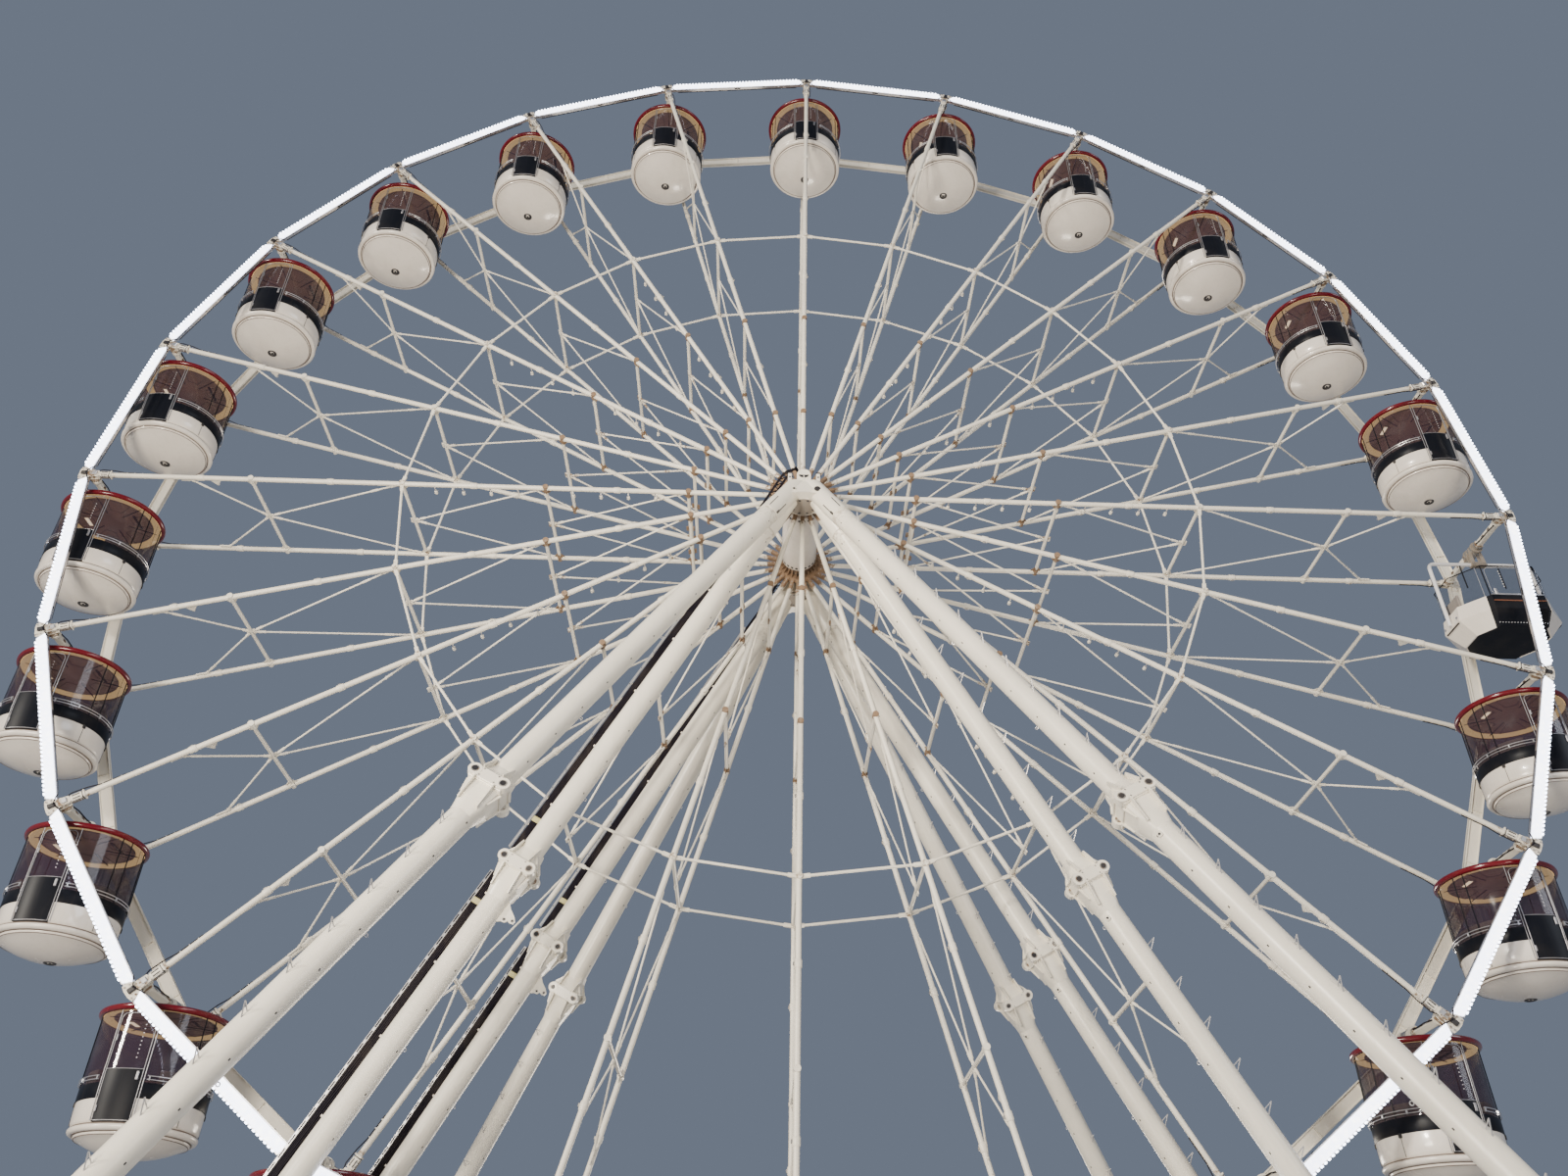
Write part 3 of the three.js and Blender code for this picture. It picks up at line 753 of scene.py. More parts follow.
def coupling(piece, y, radius, chord_radius, place):
    """Raised collar where two lengths of chord meet."""
    lower = [(chord_radius - 0.01, -COUPLING_HALF), (chord_radius + 0.008, -COUPLING_HALF),
             (chord_radius + 0.014, -COUPLING_HALF + 0.015)]
    profile = lower + [(r, -z) for r, z in reversed(lower)]
    wear = max(0.0, 0.5 - 0.05 * radius)
    piece.add(moved(lathe(profile, 14), axes_at((0, y, radius), (0, 0, 1), (1, 0, 0))), "cream_paint",
              wear, place)
    piece.add(box((0.035, 0.035, 0.06), (chord_radius + 0.02, y, radius), 0.006), "steel", wear, place)


def wear_at(radius):
    """Share of rust on the joints: strong near the hub, faint near the rim."""
    return float(np.interp(radius, WEAR_RADII, WEAR_SHARES))


def strut_node(piece, radius, sizes, place):
    """Strut between the chords, with gusset plates at its ends and an eye in its middle for the rods."""
    wear = wear_at(radius)
    piece.rod((0, -HALF_GAP, radius), (0, HALF_GAP, radius), sizes.strut_radius, "cream_paint", 12,
              wear + 0.15, 0.30, place)
    for y in (-HALF_GAP, HALF_GAP):
        inward = -math.copysign(1, y)
        seat = frame_from((0, 0, 1), (0, inward, 0), (-inward, 0, 0), (0, y + inward * 0.04, radius))
        gusset = prism([(-0.13, 0.0), (0.13, 0.0), (0.045, 0.12), (-0.045, 0.12)], -0.006, 0.006)
        piece.add(moved(gusset, seat), "cream_paint", wear, place)
        piece.add(tube((0, y - 0.068, radius), (0, y + 0.068, radius), 0.060, 12), "cream_paint", wear, place)
    piece.add(box((0.024, 0.15, 0.18), (0, 0, radius), 0.006), "cream_paint", wear * 0.8, place)
    piece.add(tube((-0.026, 0, radius), (0.026, 0, radius), 0.036, 12), "steel", 0.4, place)


def brace(piece, start, end, sizes, place):
    """Thin rod with a fork at each end and a turnbuckle."""
    start, end = np.array(start, float), np.array(end, float)
    wear = wear_at(max(start[2], end[2])) * 0.7
    piece.rod(start, end, sizes.rod_radius, "cream_paint", 8, wear, 0.25, place)
    way = end - start
    for share in FORK_SHARES:
        middle = start + way * share
        half = way / np.linalg.norm(way) * 0.07
        piece.add(tube(middle - half, middle + half, sizes.rod_radius * 1.5, 8), "cream_paint", wear, place)
    middle = start + way * TURNBUCKLE_SHARE
    half = way / np.linalg.norm(way) * 0.09
    piece.add(tube(middle - half, middle + half, sizes.rod_radius * 1.4, 6), "cream_paint", wear, place)


BRACKET_PLATE = [(-0.10, 0.0), (0.10, 0.0), (0.085, 0.035), (0.015, 0.135), (-0.015, 0.135), (-0.085, 0.035)]


def lamp_bracket(piece, place):
    """Pointed plate behind the front chord with a small lamp on it."""
    seat = frame_from((0, 0, 1), (0, 1, 0), (-1, 0, 0), (0, -HALF_GAP + 0.045, LAMP_BRACKET_R))
    piece.add(moved(prism(BRACKET_PLATE, -0.030, 0.030), seat), "cream_paint", 0.25, place)
    y = -HALF_GAP + 0.15
    piece.add(tube((0, y, LAMP_BRACKET_R), (0, y + 0.05, LAMP_BRACKET_R), 0.022, 12, 0.034), "rail_metal",
              0.1, place)
    piece.add(tube((0, y + 0.048, LAMP_BRACKET_R), (0, y + 0.054, LAMP_BRACKET_R), 0.028, 12), "warm_lamp",
              0, place)


def lamp_stub(piece, radius, place):
    """Short arm behind the front chord that carries a lamp."""
    y = -HALF_GAP
    piece.add(tube((0, y + 0.03, radius), (0, y + 0.22, radius), 0.016, 8), "rail_metal", 0.1, place)
    piece.add(tube((0, y + 0.20, radius), (0, y + 0.27, radius), 0.030, 10, 0.036), "cream_paint", 0.1, place)
    piece.add(tube((0, y + 0.268, radius), (0, y + 0.278, radius), 0.030, 10), "warm_lamp", 0, place)


def ring_bars(piece, sizes, index):
    """Bars from one spoke to the next in both ring planes, with a fork at each end."""
    half = STRUT_RADII[1] * math.sin(STEP / 2)
    middle = STRUT_RADII[1] * math.cos(STEP / 2)
    place = on_wheel(spoke_angle(index + 0.5))
    for y in (-HALF_GAP, HALF_GAP):
        piece.rod((-half + 0.05, y, middle), (half - 0.05, y, middle), sizes.ring_bar_radius,
                  "cream_paint", 8, 0.4, 0.25, place)
        for end in (-1, 1):
            piece.add(box((0.16, 0.05, 0.075), (end * (half - 0.12), y, middle), 0.008), "cream_paint",
                      0.3, place)


class WHEEL_OT_spokes(Operator):
    """Make the spoke trusses, one mesh for each sector of the wheel"""

    bl_idname = "wheel.spokes"
    bl_label = "Spokes"

    def execute(self, context):
        sizes = context.scene.wheel_sizes
        for sector, node in enumerate(SECTORS):
            piece = Piece(f"truss_{sector + 1}")
            for k in range(SPOKES_A_SECTOR):
                index = sector * SPOKES_A_SECTOR + k
                spoke_truss(piece, sizes, spoke_angle(index), index % 2 == 0)
                ring_bars(piece, sizes, index)
            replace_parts(piece.build("wheel", "cream_paint"), node)
        return {"FINISHED"}


# Rims

AXLE_TUBE = 0.118
AXLE_INSET = 0.075
JOURNAL_END = 0.26
JOURNAL_R = 0.0715


def rim_bar_outline(reach_outer, reach_inner, depth):
    """Front face of a rim beam: longer at the edge near the axle."""
    half = depth / 2
    return [(-reach_inner, -half), (reach_inner, -half), (reach_outer, half), (-reach_outer, half)]


def light_bar(piece, sizes, index):
    """Painted beam with a lit strip on its face and a row of lamp cells along its outer edge."""
    place = on_wheel(spoke_angle(index + 0.5))
    half, middle, y = RIM_HALF, RIM_MIDDLE, -HALF_GAP
    piece.add(box((2 * half - 0.16, 0.080, sizes.bar_depth - 0.015), (0, y + 0.012, middle), 0.010),
              "rail_metal", 0.0, place)
    face = facing_front((0, y - 0.028, middle))
    back = rim_bar_outline(half - 0.19, half - 0.10, sizes.bar_depth)
    piece.add(moved(prism(back, 0.0, 0.014), face), "rail_metal", 0.0, place)
    strip = rim_bar_outline(half - 0.20, half - 0.125, sizes.bar_depth - 0.040)
    piece.add(moved(prism(strip, 0.014, 0.034), face), "light_strip", 0.0, place)
    lip = sizes.bar_depth / 2
    count = int((2 * half - 0.46) / sizes.lamp_pitch)
    for k in range(count):
        x = (k - (count - 1) / 2) * sizes.lamp_pitch
        piece.add(box((0.044, 0.045, 0.026), (x, y - 0.045, middle + lip + 0.004), 0.006), "lamp_cell",
                  0.0, place)
    piece.add(box((0.16, 0.03, 0.010), (0, y + 0.005, middle - lip + 0.004), 0.0), "black_paint", 0.0, place)
    for x in (-1.45, -0.72, 0.72, 1.45):
        piece.add(box((0.05, 0.012, 0.012), (x, y - 0.022, middle - lip - 0.003), 0.0), "black_paint", 0.0,
                  place)
    for side in (-1, 1):
        piece.add(box((0.016, 0.095, sizes.bar_depth - 0.02), (side * (half - 0.082), y + 0.015, middle),
                      0.004), "cream_paint", 0.3, place)
        spots = [(side * (half - 0.074), y + 0.015 + dy, middle + dz)
                 for dy in (-0.025, 0.025) for dz in (-0.07, 0.07)]
        piece.bolts(spots, (side, 0, 0), 0.013, 0.014, place=place)
    piece.rod((-half + 0.3, y + 0.062, middle - 0.08), (half - 0.3, y + 0.062, middle - 0.08), 0.012,
              "cable_black", 6, 0.0, 0.1, place)


NODE_PLATE = [(-0.07, -0.30), (0.07, -0.30), (0.085, -0.12), (0.155, -0.03), (0.150, 0.085), (0.06, 0.105),
              (-0.06, 0.105), (-0.150, 0.085), (-0.155, -0.03), (-0.085, -0.12)]


def rim_node(piece, angle, y, front):
    """Plates and pins that join two rim beams, the spoke's sleeve and the cross axle."""
    place = on_wheel(angle)
    out = -1 if front else 1
    for offset in (-0.050, 0.048):
        seat = facing_front((0, y + offset, RIM_R))
        piece.add(moved(prism(NODE_PLATE, -0.010, 0.0), seat), "cream_paint", 0.35, place)
    piece.add(box((0.11, 0.088, 0.30), (0, y - 0.001, NODE_R + 0.145), 0.010), "cream_paint", 0.2, place)
    piece.add(tube((0, y - 0.068, PIVOT_R), (0, y + 0.068, PIVOT_R), 0.080, 20), "cream_paint", 0.5, place)
    piece.add(tube((0, y + out * 0.066, PIVOT_R), (0, y + out * 0.072, PIVOT_R), 0.048, 12), "steel", 0.4,
              place)
    heads = [(x, y + out * 0.056, RIM_R + z) for x in (-0.11, 0.11) for z in (-0.02, 0.06)]
    piece.bolts(heads, (0, out, 0), 0.016, 0.012, place=place)
    if front:
        piece.add(box((0.09, 0.045, 0.13), (0, y - 0.070, RIM_R - 0.01), 0.012), "black_paint", 0.0, place)
        piece.add(box((0.10, 0.035, 0.09), (0, y - 0.068, NODE_R + 0.09), 0.010), "rail_metal", 0.2, place)
        cable = [(-0.22, y - 0.01, RIM_R - 0.13), (-0.13, y - 0.075, RIM_R - 0.11),
                 (0, y - 0.100, RIM_R - 0.05), (0.13, y - 0.075, RIM_R - 0.11),
                 (0.22, y - 0.01, RIM_R - 0.13)]
        piece.add(sweep(cable, 0.011, 6), "cable_black", 0.0, place)


def cross_axle(piece, angle):
    """Square tube from rim to rim, with a round journal and its collars in the middle for a cabin."""
    place = on_wheel(angle)
    for side in (-1, 1):
        middle = side * (HALF_GAP - AXLE_INSET + JOURNAL_END) / 2
        length = HALF_GAP - AXLE_INSET - JOURNAL_END
        turned = axes_at((0, middle, PIVOT_R), (0, 0, 1), (1, 0, 0))
        piece.add(box((AXLE_TUBE, length, AXLE_TUBE), edge=0.012), "cream_paint", 0.12, place @ turned)
        for y, size, stain in ((0.275, 0.15, 0.5), (HALF_GAP - 0.115, 0.165, 0.55)):
            piece.add(box((size, 0.045, size), (0, side * y, PIVOT_R), 0.010), "cream_paint", stain, place)
        piece.add(tube((0, side * 0.215, PIVOT_R), (0, side * 0.262, PIVOT_R), 0.096, 20), "steel", 0.4,
                  place)
        for y in (0.55, 0.80):
            piece.add(box((0.05, 0.08, 0.012), (0, side * y, PIVOT_R - 0.062), 0.0), "steel", 0.5, place)
        seat = side * (HALF_GAP - 0.16)
        piece.add(tube((0, seat, PIVOT_R), (0, seat - side * 0.045, PIVOT_R), 0.098, 20), "cream_paint",
                  0.2, place)
        spots = [(0.080 * math.cos(a), seat - side * 0.045, PIVOT_R + 0.080 * math.sin(a))
                 for a in np.arange(6) * math.pi / 3]
        piece.bolts(spots, (0, -side, 0), 0.014, 0.018, "cream_paint", 0.2, place)
    piece.add(tube((0, -0.23, PIVOT_R), (0, 0.23, PIVOT_R), JOURNAL_R, 24), "steel", 0.1, place)
    lead = [(0.055, -HALF_GAP + 0.10, PIVOT_R - 0.05), (0.05, -0.75, PIVOT_R - 0.085),
            (0.03, -0.45, PIVOT_R - 0.075), (0.02, -0.30, PIVOT_R - 0.085)]
    piece.add(sweep(lead, 0.012, 6), "cable_black", 0.0, place)


class WHEEL_OT_front_rim(Operator):
    """Make the lit front rim with its nodes and the cross axles"""

    bl_idname = "wheel.front_rim"
    bl_label = "Front rim and cross axles"

    def execute(self, context):
        sizes = context.scene.wheel_sizes
        rim = Piece("front_rim_lights")
        axles = Piece("cross_axles")
        for index in range(SPOKES):
            light_bar(rim, sizes, index)
            rim_node(rim, spoke_angle(index), -HALF_GAP, True)
            cross_axle(axles, spoke_angle(index))
        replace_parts(rim.build("wheel", "light_bar"), "front_rim")
        axles.build("wheel", "cream_paint")
        return {"FINISHED"}


class WHEEL_OT_rear_rim(Operator):
    """Make the plain rear rim with its nodes"""

    bl_idname = "wheel.rear_rim"
    bl_label = "Rear rim"

    def execute(self, context):
        sizes = context.scene.wheel_sizes
        rim = Piece("rear_rim_beams")
        half, middle, y = RIM_HALF, RIM_MIDDLE, HALF_GAP
        for index in range(SPOKES):
            place = on_wheel(spoke_angle(index + 0.5))
            rim.add(box((2 * half - 0.20, 0.055, sizes.rim_depth), (0, y, middle), 0.008), "cream_paint",
                    0.1, place)
            for edge in (-1, 1):
                lift = edge * (sizes.rim_depth / 2 - 0.008)
                flange = box((2 * half - 0.24, 0.115, 0.016), (0, y, middle + lift), 0.004)
                rim.add(flange, "cream_paint", 0.12, place)
                rim.add(box((0.20, 0.09, 0.14), (edge * (half - 0.13), y, middle), 0.01), "cream_paint",
                        0.4, place)
                heads = [(edge * (half - 0.13 - dx), y + 0.045, middle + dz)
                         for dx in (-0.05, 0.05) for dz in (-0.04, 0.04)]
                rim.bolts(heads, (0, 1, 0), 0.015, 0.012, place=place)
            for x in (-1.2, 0.0, 1.2):
                rim.add(box((0.014, 0.11, sizes.rim_depth - 0.02), (x, y, middle), 0.0), "cream_paint",
                        0.35, place)
            rim_node(rim, spoke_angle(index), y, False)
        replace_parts(rim.build("wheel", "cream_paint"), "rear_rim")
        return {"FINISHED"}


# Hub, axle and heads

NECK_R = 0.208
HUB_CORE_R = 0.29
DRUM_INSET = 0.34
FLANGE_INSET = 0.06
END_RING_R = 0.25
HEAD_SHOULDER_Z = 17.61
SOCKET_SLOT_TURNS = (276, 212)
SOCKET_NOTCH_TURN = 214
HEAD_CABLES = (-0.108, -0.077, 0.077, 0.108)
HEAD_CABLE_R = 0.0155
LADDER_BAR_REACH = 0.100


def lathe_on_axle(piece, profile, segments, finish, stain=0.0):
    """Profile of radius and place along Y, turned about the axle."""
    place = axes_at((0, 0, AXLE_Z), (0, 1, 0), (1, 0, 0))
    piece.add(moved(lathe(profile, segments), place), finish, stain)


class WHEEL_OT_hub(Operator):
    """Make the hub drum with its flanges, spoke lugs and bolts"""

    bl_idname = "wheel.hub"
    bl_label = "Hub"

    def execute(self, context):
        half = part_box("hub_drum")[1].y
        hub = Piece("hub_with_flanges")
        neck = [(NECK_R, half), (NECK_R, -half), (0.30, -half), (0.30, half)]
        lathe_on_axle(hub, neck, 48, "bearing_brown", 0.5)
        end = half - DRUM_INSET
        drum = [(HUB_CORE_R, -end), (0.352, -end), (0.378, -end + 0.012), (0.389, -end + 0.04)]
        drum += [(r, -y) for r, y in reversed(drum)]
        lathe_on_axle(hub, drum, 64, "shell_white")
        for side in (-1, 1):
            y = side * (half - FLANGE_INSET)
            disc = FLANGE_DISC_R
            flange = [(HUB_CORE_R, y - 0.022), (disc - 0.005, y - 0.022), (disc, y - 0.017),
                      (disc, y + 0.017), (disc - 0.005, y + 0.022), (HUB_CORE_R, y + 0.022)]
            # Dark brown flanges with a heavy rust share: partly rust, partly painted shade about the drum's
            # ends.
            lathe_on_axle(hub, flange, 72, "bearing_brown", 0.8)
            for index in range(SPOKES):
                place = on_wheel(spoke_angle(index))
                lug = box((0.078, 0.11, FLANGE_R - 0.455), (0, y, (FLANGE_R + 0.452) / 2), 0.01)
                hub.add(lug, "cream_paint", 0.9, place)
                heads = [(0, y - side * 0.054, r) for r in (0.53, 0.62)]
                hub.bolts(heads, (0, -side, 0), 0.017, 0.014, place=place)
                rib = prism([(HUB_CORE_R, -0.02), (0.42, -0.02), (HUB_CORE_R, -0.25)], -0.006, 0.006)
                seat = frame_from((0, 0, 1), (0, side, 0), (-side, 0, 0), (0, y, 0))
                between_spokes = on_wheel(spoke_angle(index + 0.5))
                hub.add(moved(rib, seat), "cream_paint", 0.8, between_spokes)
                y_dot = side * (end - 0.10)
                dot = tube((0, y_dot, 0.386), (0, y_dot, 0.393), 0.030, 12)
                hub.add(dot, "black_paint", 0.0, between_spokes)
        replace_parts(hub.build("wheel", "cream_paint"), "hub_drum")
        return {"FINISHED"}


def leg_line(side_x, side_y, outer):
    """Top point, foot point and direction of a leg."""
    top = np.array((0.0, side_y * HEAD_Y, AXLE_Z))
    foot = np.array((side_x * FOOT_X, side_y * (OUTER_FOOT_Y if outer else INNER_FOOT_Y), 0.0))
    way = foot - top
    return top, foot, way / np.linalg.norm(way)


def leg_axes(at, way):
    """Frame of a leg: Z down the tube, X level across it, and Y away from the ground side."""
    across = np.cross((0, 1, 0), way)
    return axes_at(at, way, across)


class WHEEL_OT_axle_heads(Operator):
    """Make the axle with its end rings and the two head castings"""

    bl_idname = "wheel.axle_heads"
    bl_label = "Axle and heads"

    def execute(self, context):
        sizes = context.scene.wheel_sizes
        axle_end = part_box("main_axle")[1].y
        axle = Piece("axle_with_end_rings")
        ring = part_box("hub_drum")[1].y + 0.008
        profile = [(0, -axle_end), (0.22, -axle_end), (END_RING_R, -axle_end + 0.02), (END_RING_R, -ring),
                   (0.20, -ring)]
        profile += [(r, -y) for r, y in reversed(profile)]
        lathe_on_axle(axle, profile, 48, "bearing_brown", 0.3)
        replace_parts(axle.build("tower", "grey_steel"), "main_axle")
        for side_y, place in ((-1, "front"), (1, "rear")):
            self.head(sizes, side_y, place)
        return {"FINISHED"}

    def head(self, sizes, side_y, place):
        """Head casting: block, sloping front, cap, boss and posts, with a socket for each leg."""
        piece = Piece(f"head_casting_{place}")
        right = [(0.46, HEAD_FOOT_Z), (0.378, HEAD_SHOULDER_Z), (0.30, HEAD_TOP_Z)]
        outline = right + [(-x, z) for x, z in reversed(right)]
        outline = outline[-1:] + outline[:-1]
        piece.add(self.across(outline, side_y, HEAD_BACK_Y, HEAD_FRONT_Y), "leg_paint", 0.1)
        for side_x in (-1, 1):
            for outer in (False, True):
                self.socket(piece, sizes, side_x, side_y, outer)
        self.front(piece, side_y)
        self.cap(piece, side_y)
        self.boss(piece, side_y)
        for x in (-0.29, 0.29):
            y = side_y * (HEAD_FRONT_Y - 0.07)
            piece.add(box((0.078, 0.060, 0.27), (x, y, HEAD_TOP_Z + 0.11), 0.006), "cream_paint", 0.2)
            piece.add(box((0.090, 0.068, 0.040), (x, y, HEAD_TOP_Z + 0.250), 0.008), "black_paint")
            # Black disc in each post's hole: painted shade in the bore.
            hole = [(x, y + side_y * reach, HEAD_TOP_Z + 0.14) for reach in (0.028, 0.032)]
            piece.add(tube(*hole, 0.022, 12), "black_paint")
        self.cables(piece, side_y)
        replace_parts(piece.build("tower", "cream_paint"), f"head_{place}")

    def across(self, outline, side_y, near, far):
        """Outline of X and Z raised along Y, away from the wheel's middle."""
        low, high = sorted((-side_y * near, -side_y * far))
        return moved(prism(outline, low, high), facing_front())

    def socket(self, piece, sizes, side_x, side_y, outer):
        """Tube that takes a leg: cut level at the head's top, with a sleeve; an outer one has slots and a
        notch, dark with painted shade.
        """
        top, _, way = leg_line(side_x, side_y, outer)
        piece.add(level_cut_tube(top, way, sizes.leg_radius, HEAD_TOP_Z, SOCKET_END, 40), "leg_paint", 0.1)
        place = leg_axes(top, way)
        piece.add(tube((0, 0, 1.14), (0, 0, SOCKET_END), sizes.leg_radius + 0.009, 40), "leg_paint", 0.12,
                  place)
        if not outer:
            return
        # Black strips in the slots: painted shade.
        for degrees in SOCKET_SLOT_TURNS:
            turn = leg_turn(degrees, side_x)
            out = outwards(turn)
            at = out * (sizes.leg_radius + 0.0095) + (0, 0, 1.36)
            seat = axes_at(at, (0, 0, 1), out)
            piece.add(box((0.004, 0.020, 0.36)), "black_paint", 0.0, place @ seat)
        # Black block in the notch: painted shade.
        turn = leg_turn(SOCKET_NOTCH_TURN, side_x)
        out = outwards(turn)
        at = out * (sizes.leg_radius + 0.010) + (0, 0, 1.53)
        seat = axes_at(at, (0, 0, 1), out)
        piece.add(box((0.02, 0.045, 0.100), edge=0.004), "black_paint", 0.0, place @ seat)

    def front(self, piece, side_y):
        """Sloping front with an arch at its foot, a bored boss and a small lug."""
        outline = [(-0.45, 17.30), (-0.19, 17.30), (-0.11, 17.335), (0.11, 17.335), (0.19, 17.30),
                   (0.45, 17.30), (0.378, HEAD_SHOULDER_Z), (0.285, 17.715), (-0.285, 17.715),
                   (-0.378, HEAD_SHOULDER_Z)]

        def face_y(z):
            """How far the slope stands out at a height."""
            return HEAD_FRONT_Y + 0.005 + 0.34 * (HEAD_TOP_Z - z)

        points = [(x, side_y * (HEAD_FRONT_Y - 0.09), z) for x, z in outline]
        points += [(x, side_y * face_y(z), z) for x, z in outline]
        faces = prism(outline, 0, 1)[1]
        if side_y > 0:
            faces = [tuple(reversed(face)) for face in faces]
        piece.add((np.array(points), faces), "leg_paint", 0.12)
        # Each boss has a black disc on its face: painted shade in its bore.
        for x, z, radius, height in ((0.26, 17.40, 0.085, 0.045), (-0.21, 17.42, 0.036, 0.025)):
            start, end = side_y * (face_y(z) - 0.02), side_y * (face_y(z) + height)
            piece.add(tube((x, start, z), (x, end, z), radius, 28), "leg_paint", 0.2)
            piece.add(tube((x, end, z), (x, end + side_y * 0.003, z), radius * 0.76, 24), "black_paint")

    def cap(self, piece, side_y):
        """Round-topped cap on the axle's line, with a slot under its hood whose darkness is painted shade."""
        dome = [(CAP_R * math.cos(a), AXLE_Z + CAP_R * math.sin(a)) for a in np.linspace(0, math.pi, 19)]
        outline = [(-CAP_R, HEAD_TOP_Z - 0.02), (CAP_R, HEAD_TOP_Z - 0.02)] + dome
        piece.add(self.across(outline, side_y, HEAD_BACK_Y, CAP_FRONT_Y), "leg_paint", 0.1)
        # Black sheet in the slot: painted shade.
        slot = [(-0.122, AXLE_Z - 0.004), (-0.085, AXLE_Z - 0.062), (0.0, AXLE_Z - 0.090),
                (0.085, AXLE_Z - 0.062), (0.122, AXLE_Z - 0.004), (0.0, AXLE_Z - 0.012)]
        piece.add(self.across(slot, side_y, CAP_FRONT_Y - 0.01, CAP_FRONT_Y + 0.003), "black_paint")
        y = side_y * CAP_FRONT_Y
        for radius, start, end in ((0.128, 0.12, math.pi - 0.12),
                                   (0.112, math.pi + 0.15, 2 * math.pi - 0.15)):
            turns = np.linspace(start, end, 15)
            arc = [(radius * math.cos(a), y, AXLE_Z + radius * math.sin(a)) for a in turns]
            piece.add(sweep(arc, 0.011, 8), "leg_paint", 0.1)
        piece.add(box((0.020, 0.024, 0.14), (0, y, AXLE_Z - 0.10), 0.006), "leg_paint", 0.2)

    def boss(self, piece, side_y):
        """Round boss under the head with a lip and a ring of bolt holes."""
        at = np.array(Matrix.Translation((0.0, side_y * BOSS_Y, 0.0)))
        profile = [(0, 17.337), (0.255, 17.337), (0.262, 17.330), (0.278, 17.330), (0.278, 17.36),
                   (0.268, 17.40), (0, 17.40)]
        # The boss's dark brown is painted shade of the head's shaded underside.
        piece.add(moved(lathe(profile, 48), at), "bearing_brown", 0.15)
        piece.add(sweep(level_ring(0.274, 17.334, 36), 0.007, 6, closed=True), "leg_paint", 0.2, at)
        # Black discs in the bolt holes: painted shade.
        for k in range(BOSS_HOLES):
            x, y, _ = outwards((k + 0.5) * 2 * math.pi / BOSS_HOLES) * 0.215
            piece.add(tube((x, y, 17.333), (x, y, 17.34), 0.026, 14), "black_paint", 0.0, at)

    def cables(self, piece, side_y):
        """Open ladder of cables with its bars, from the left tray up past the head to the axle's end."""
        top, _, way = leg_line(-1, side_y, False)
        place = leg_axes(top, way)
        foot_of_run = place[:3, :3] @ np.array((0.29, 0.0, 1.80)) + place[:3, 3]
        line = [(-0.16, 1.62, 18.22), (-0.25, 1.74, 18.30), (-0.33, 1.86, 18.12), (-0.46, 1.93, 17.82),
                (-0.66, 1.93, 17.42), (-0.88, 1.88, 17.02)]
        line = [np.array((x, side_y * y, z)) for x, y, z in line] + [foot_of_run]
        fine = []
        for a, b in zip(line, line[1:]):
            fine += [a + (b - a) * share for share in (0.0, 0.25, 0.5, 0.75)]
        across = np.array((0.88, 0.0, 0.48))
        for aside in HEAD_CABLES:
            piece.add(sweep([at + across * aside for at in fine], HEAD_CABLE_R, 7), "cable_black")
        reach = across * LADDER_BAR_REACH
        for near, far in zip(fine[3::2], fine[5::2]):
            piece.add(tube(near - reach, near + reach, 0.011, 8), "dark_panel")
            piece.add(tube(near - reach, far + reach, 0.011, 8), "dark_panel")


def level_cut_tube(top, way, radius, level, end, sides):
    """Tube along a leg whose upper end is cut level."""
    axes = leg_axes(top, way)
    turn = np.arange(sides) * 2 * math.pi / sides
    ring = radius * (np.outer(np.cos(turn), axes[:3, 0]) + np.outer(np.sin(turn), axes[:3, 1]))
    start = (top[2] + ring[:, 2] - level) / -way[2]
    points = np.vstack((top + ring + np.outer(start, way), top + ring + end * way))
    return points, tube((0, 0, 0), (0, 0, 1), 1, sides)[1]


# Legs

SPLICE_HALF = 0.262
SPLICE_PLATE = 0.105
OUTLINE_POINTS = 36
PEG_START = 2.1
PEG_REACH = 0.145
OUTER_PEG_TURN = 290
INNER_PEG_TURN = -28
PEG_HOLE_TURN = 210
EYES = 7
EYE_START = 3.4
EYE_PITCH = 2.4
EYE_TURN = 138
BOX_TURN = 225
ABOVE_SPLICE = 0.72
TUBE_RUST = np.array((0.45, 0, 0, 0, 0, 0, 0, 0.3))
TUBE_SIDES = 40


def square_outline(half, corner, count):
    """Outline of a rounded square; a corner as large as the half side gives a circle."""
    points = []
    for k in range(count):
        turn = 2 * math.pi * k / count
        c, s = math.cos(turn), math.sin(turn)
        power = 2 + 10 * (1 - corner / half)
        reach = half / (abs(c) ** power + abs(s) ** power) ** (1 / power)
        points.append((reach * c, reach * s))
    return points


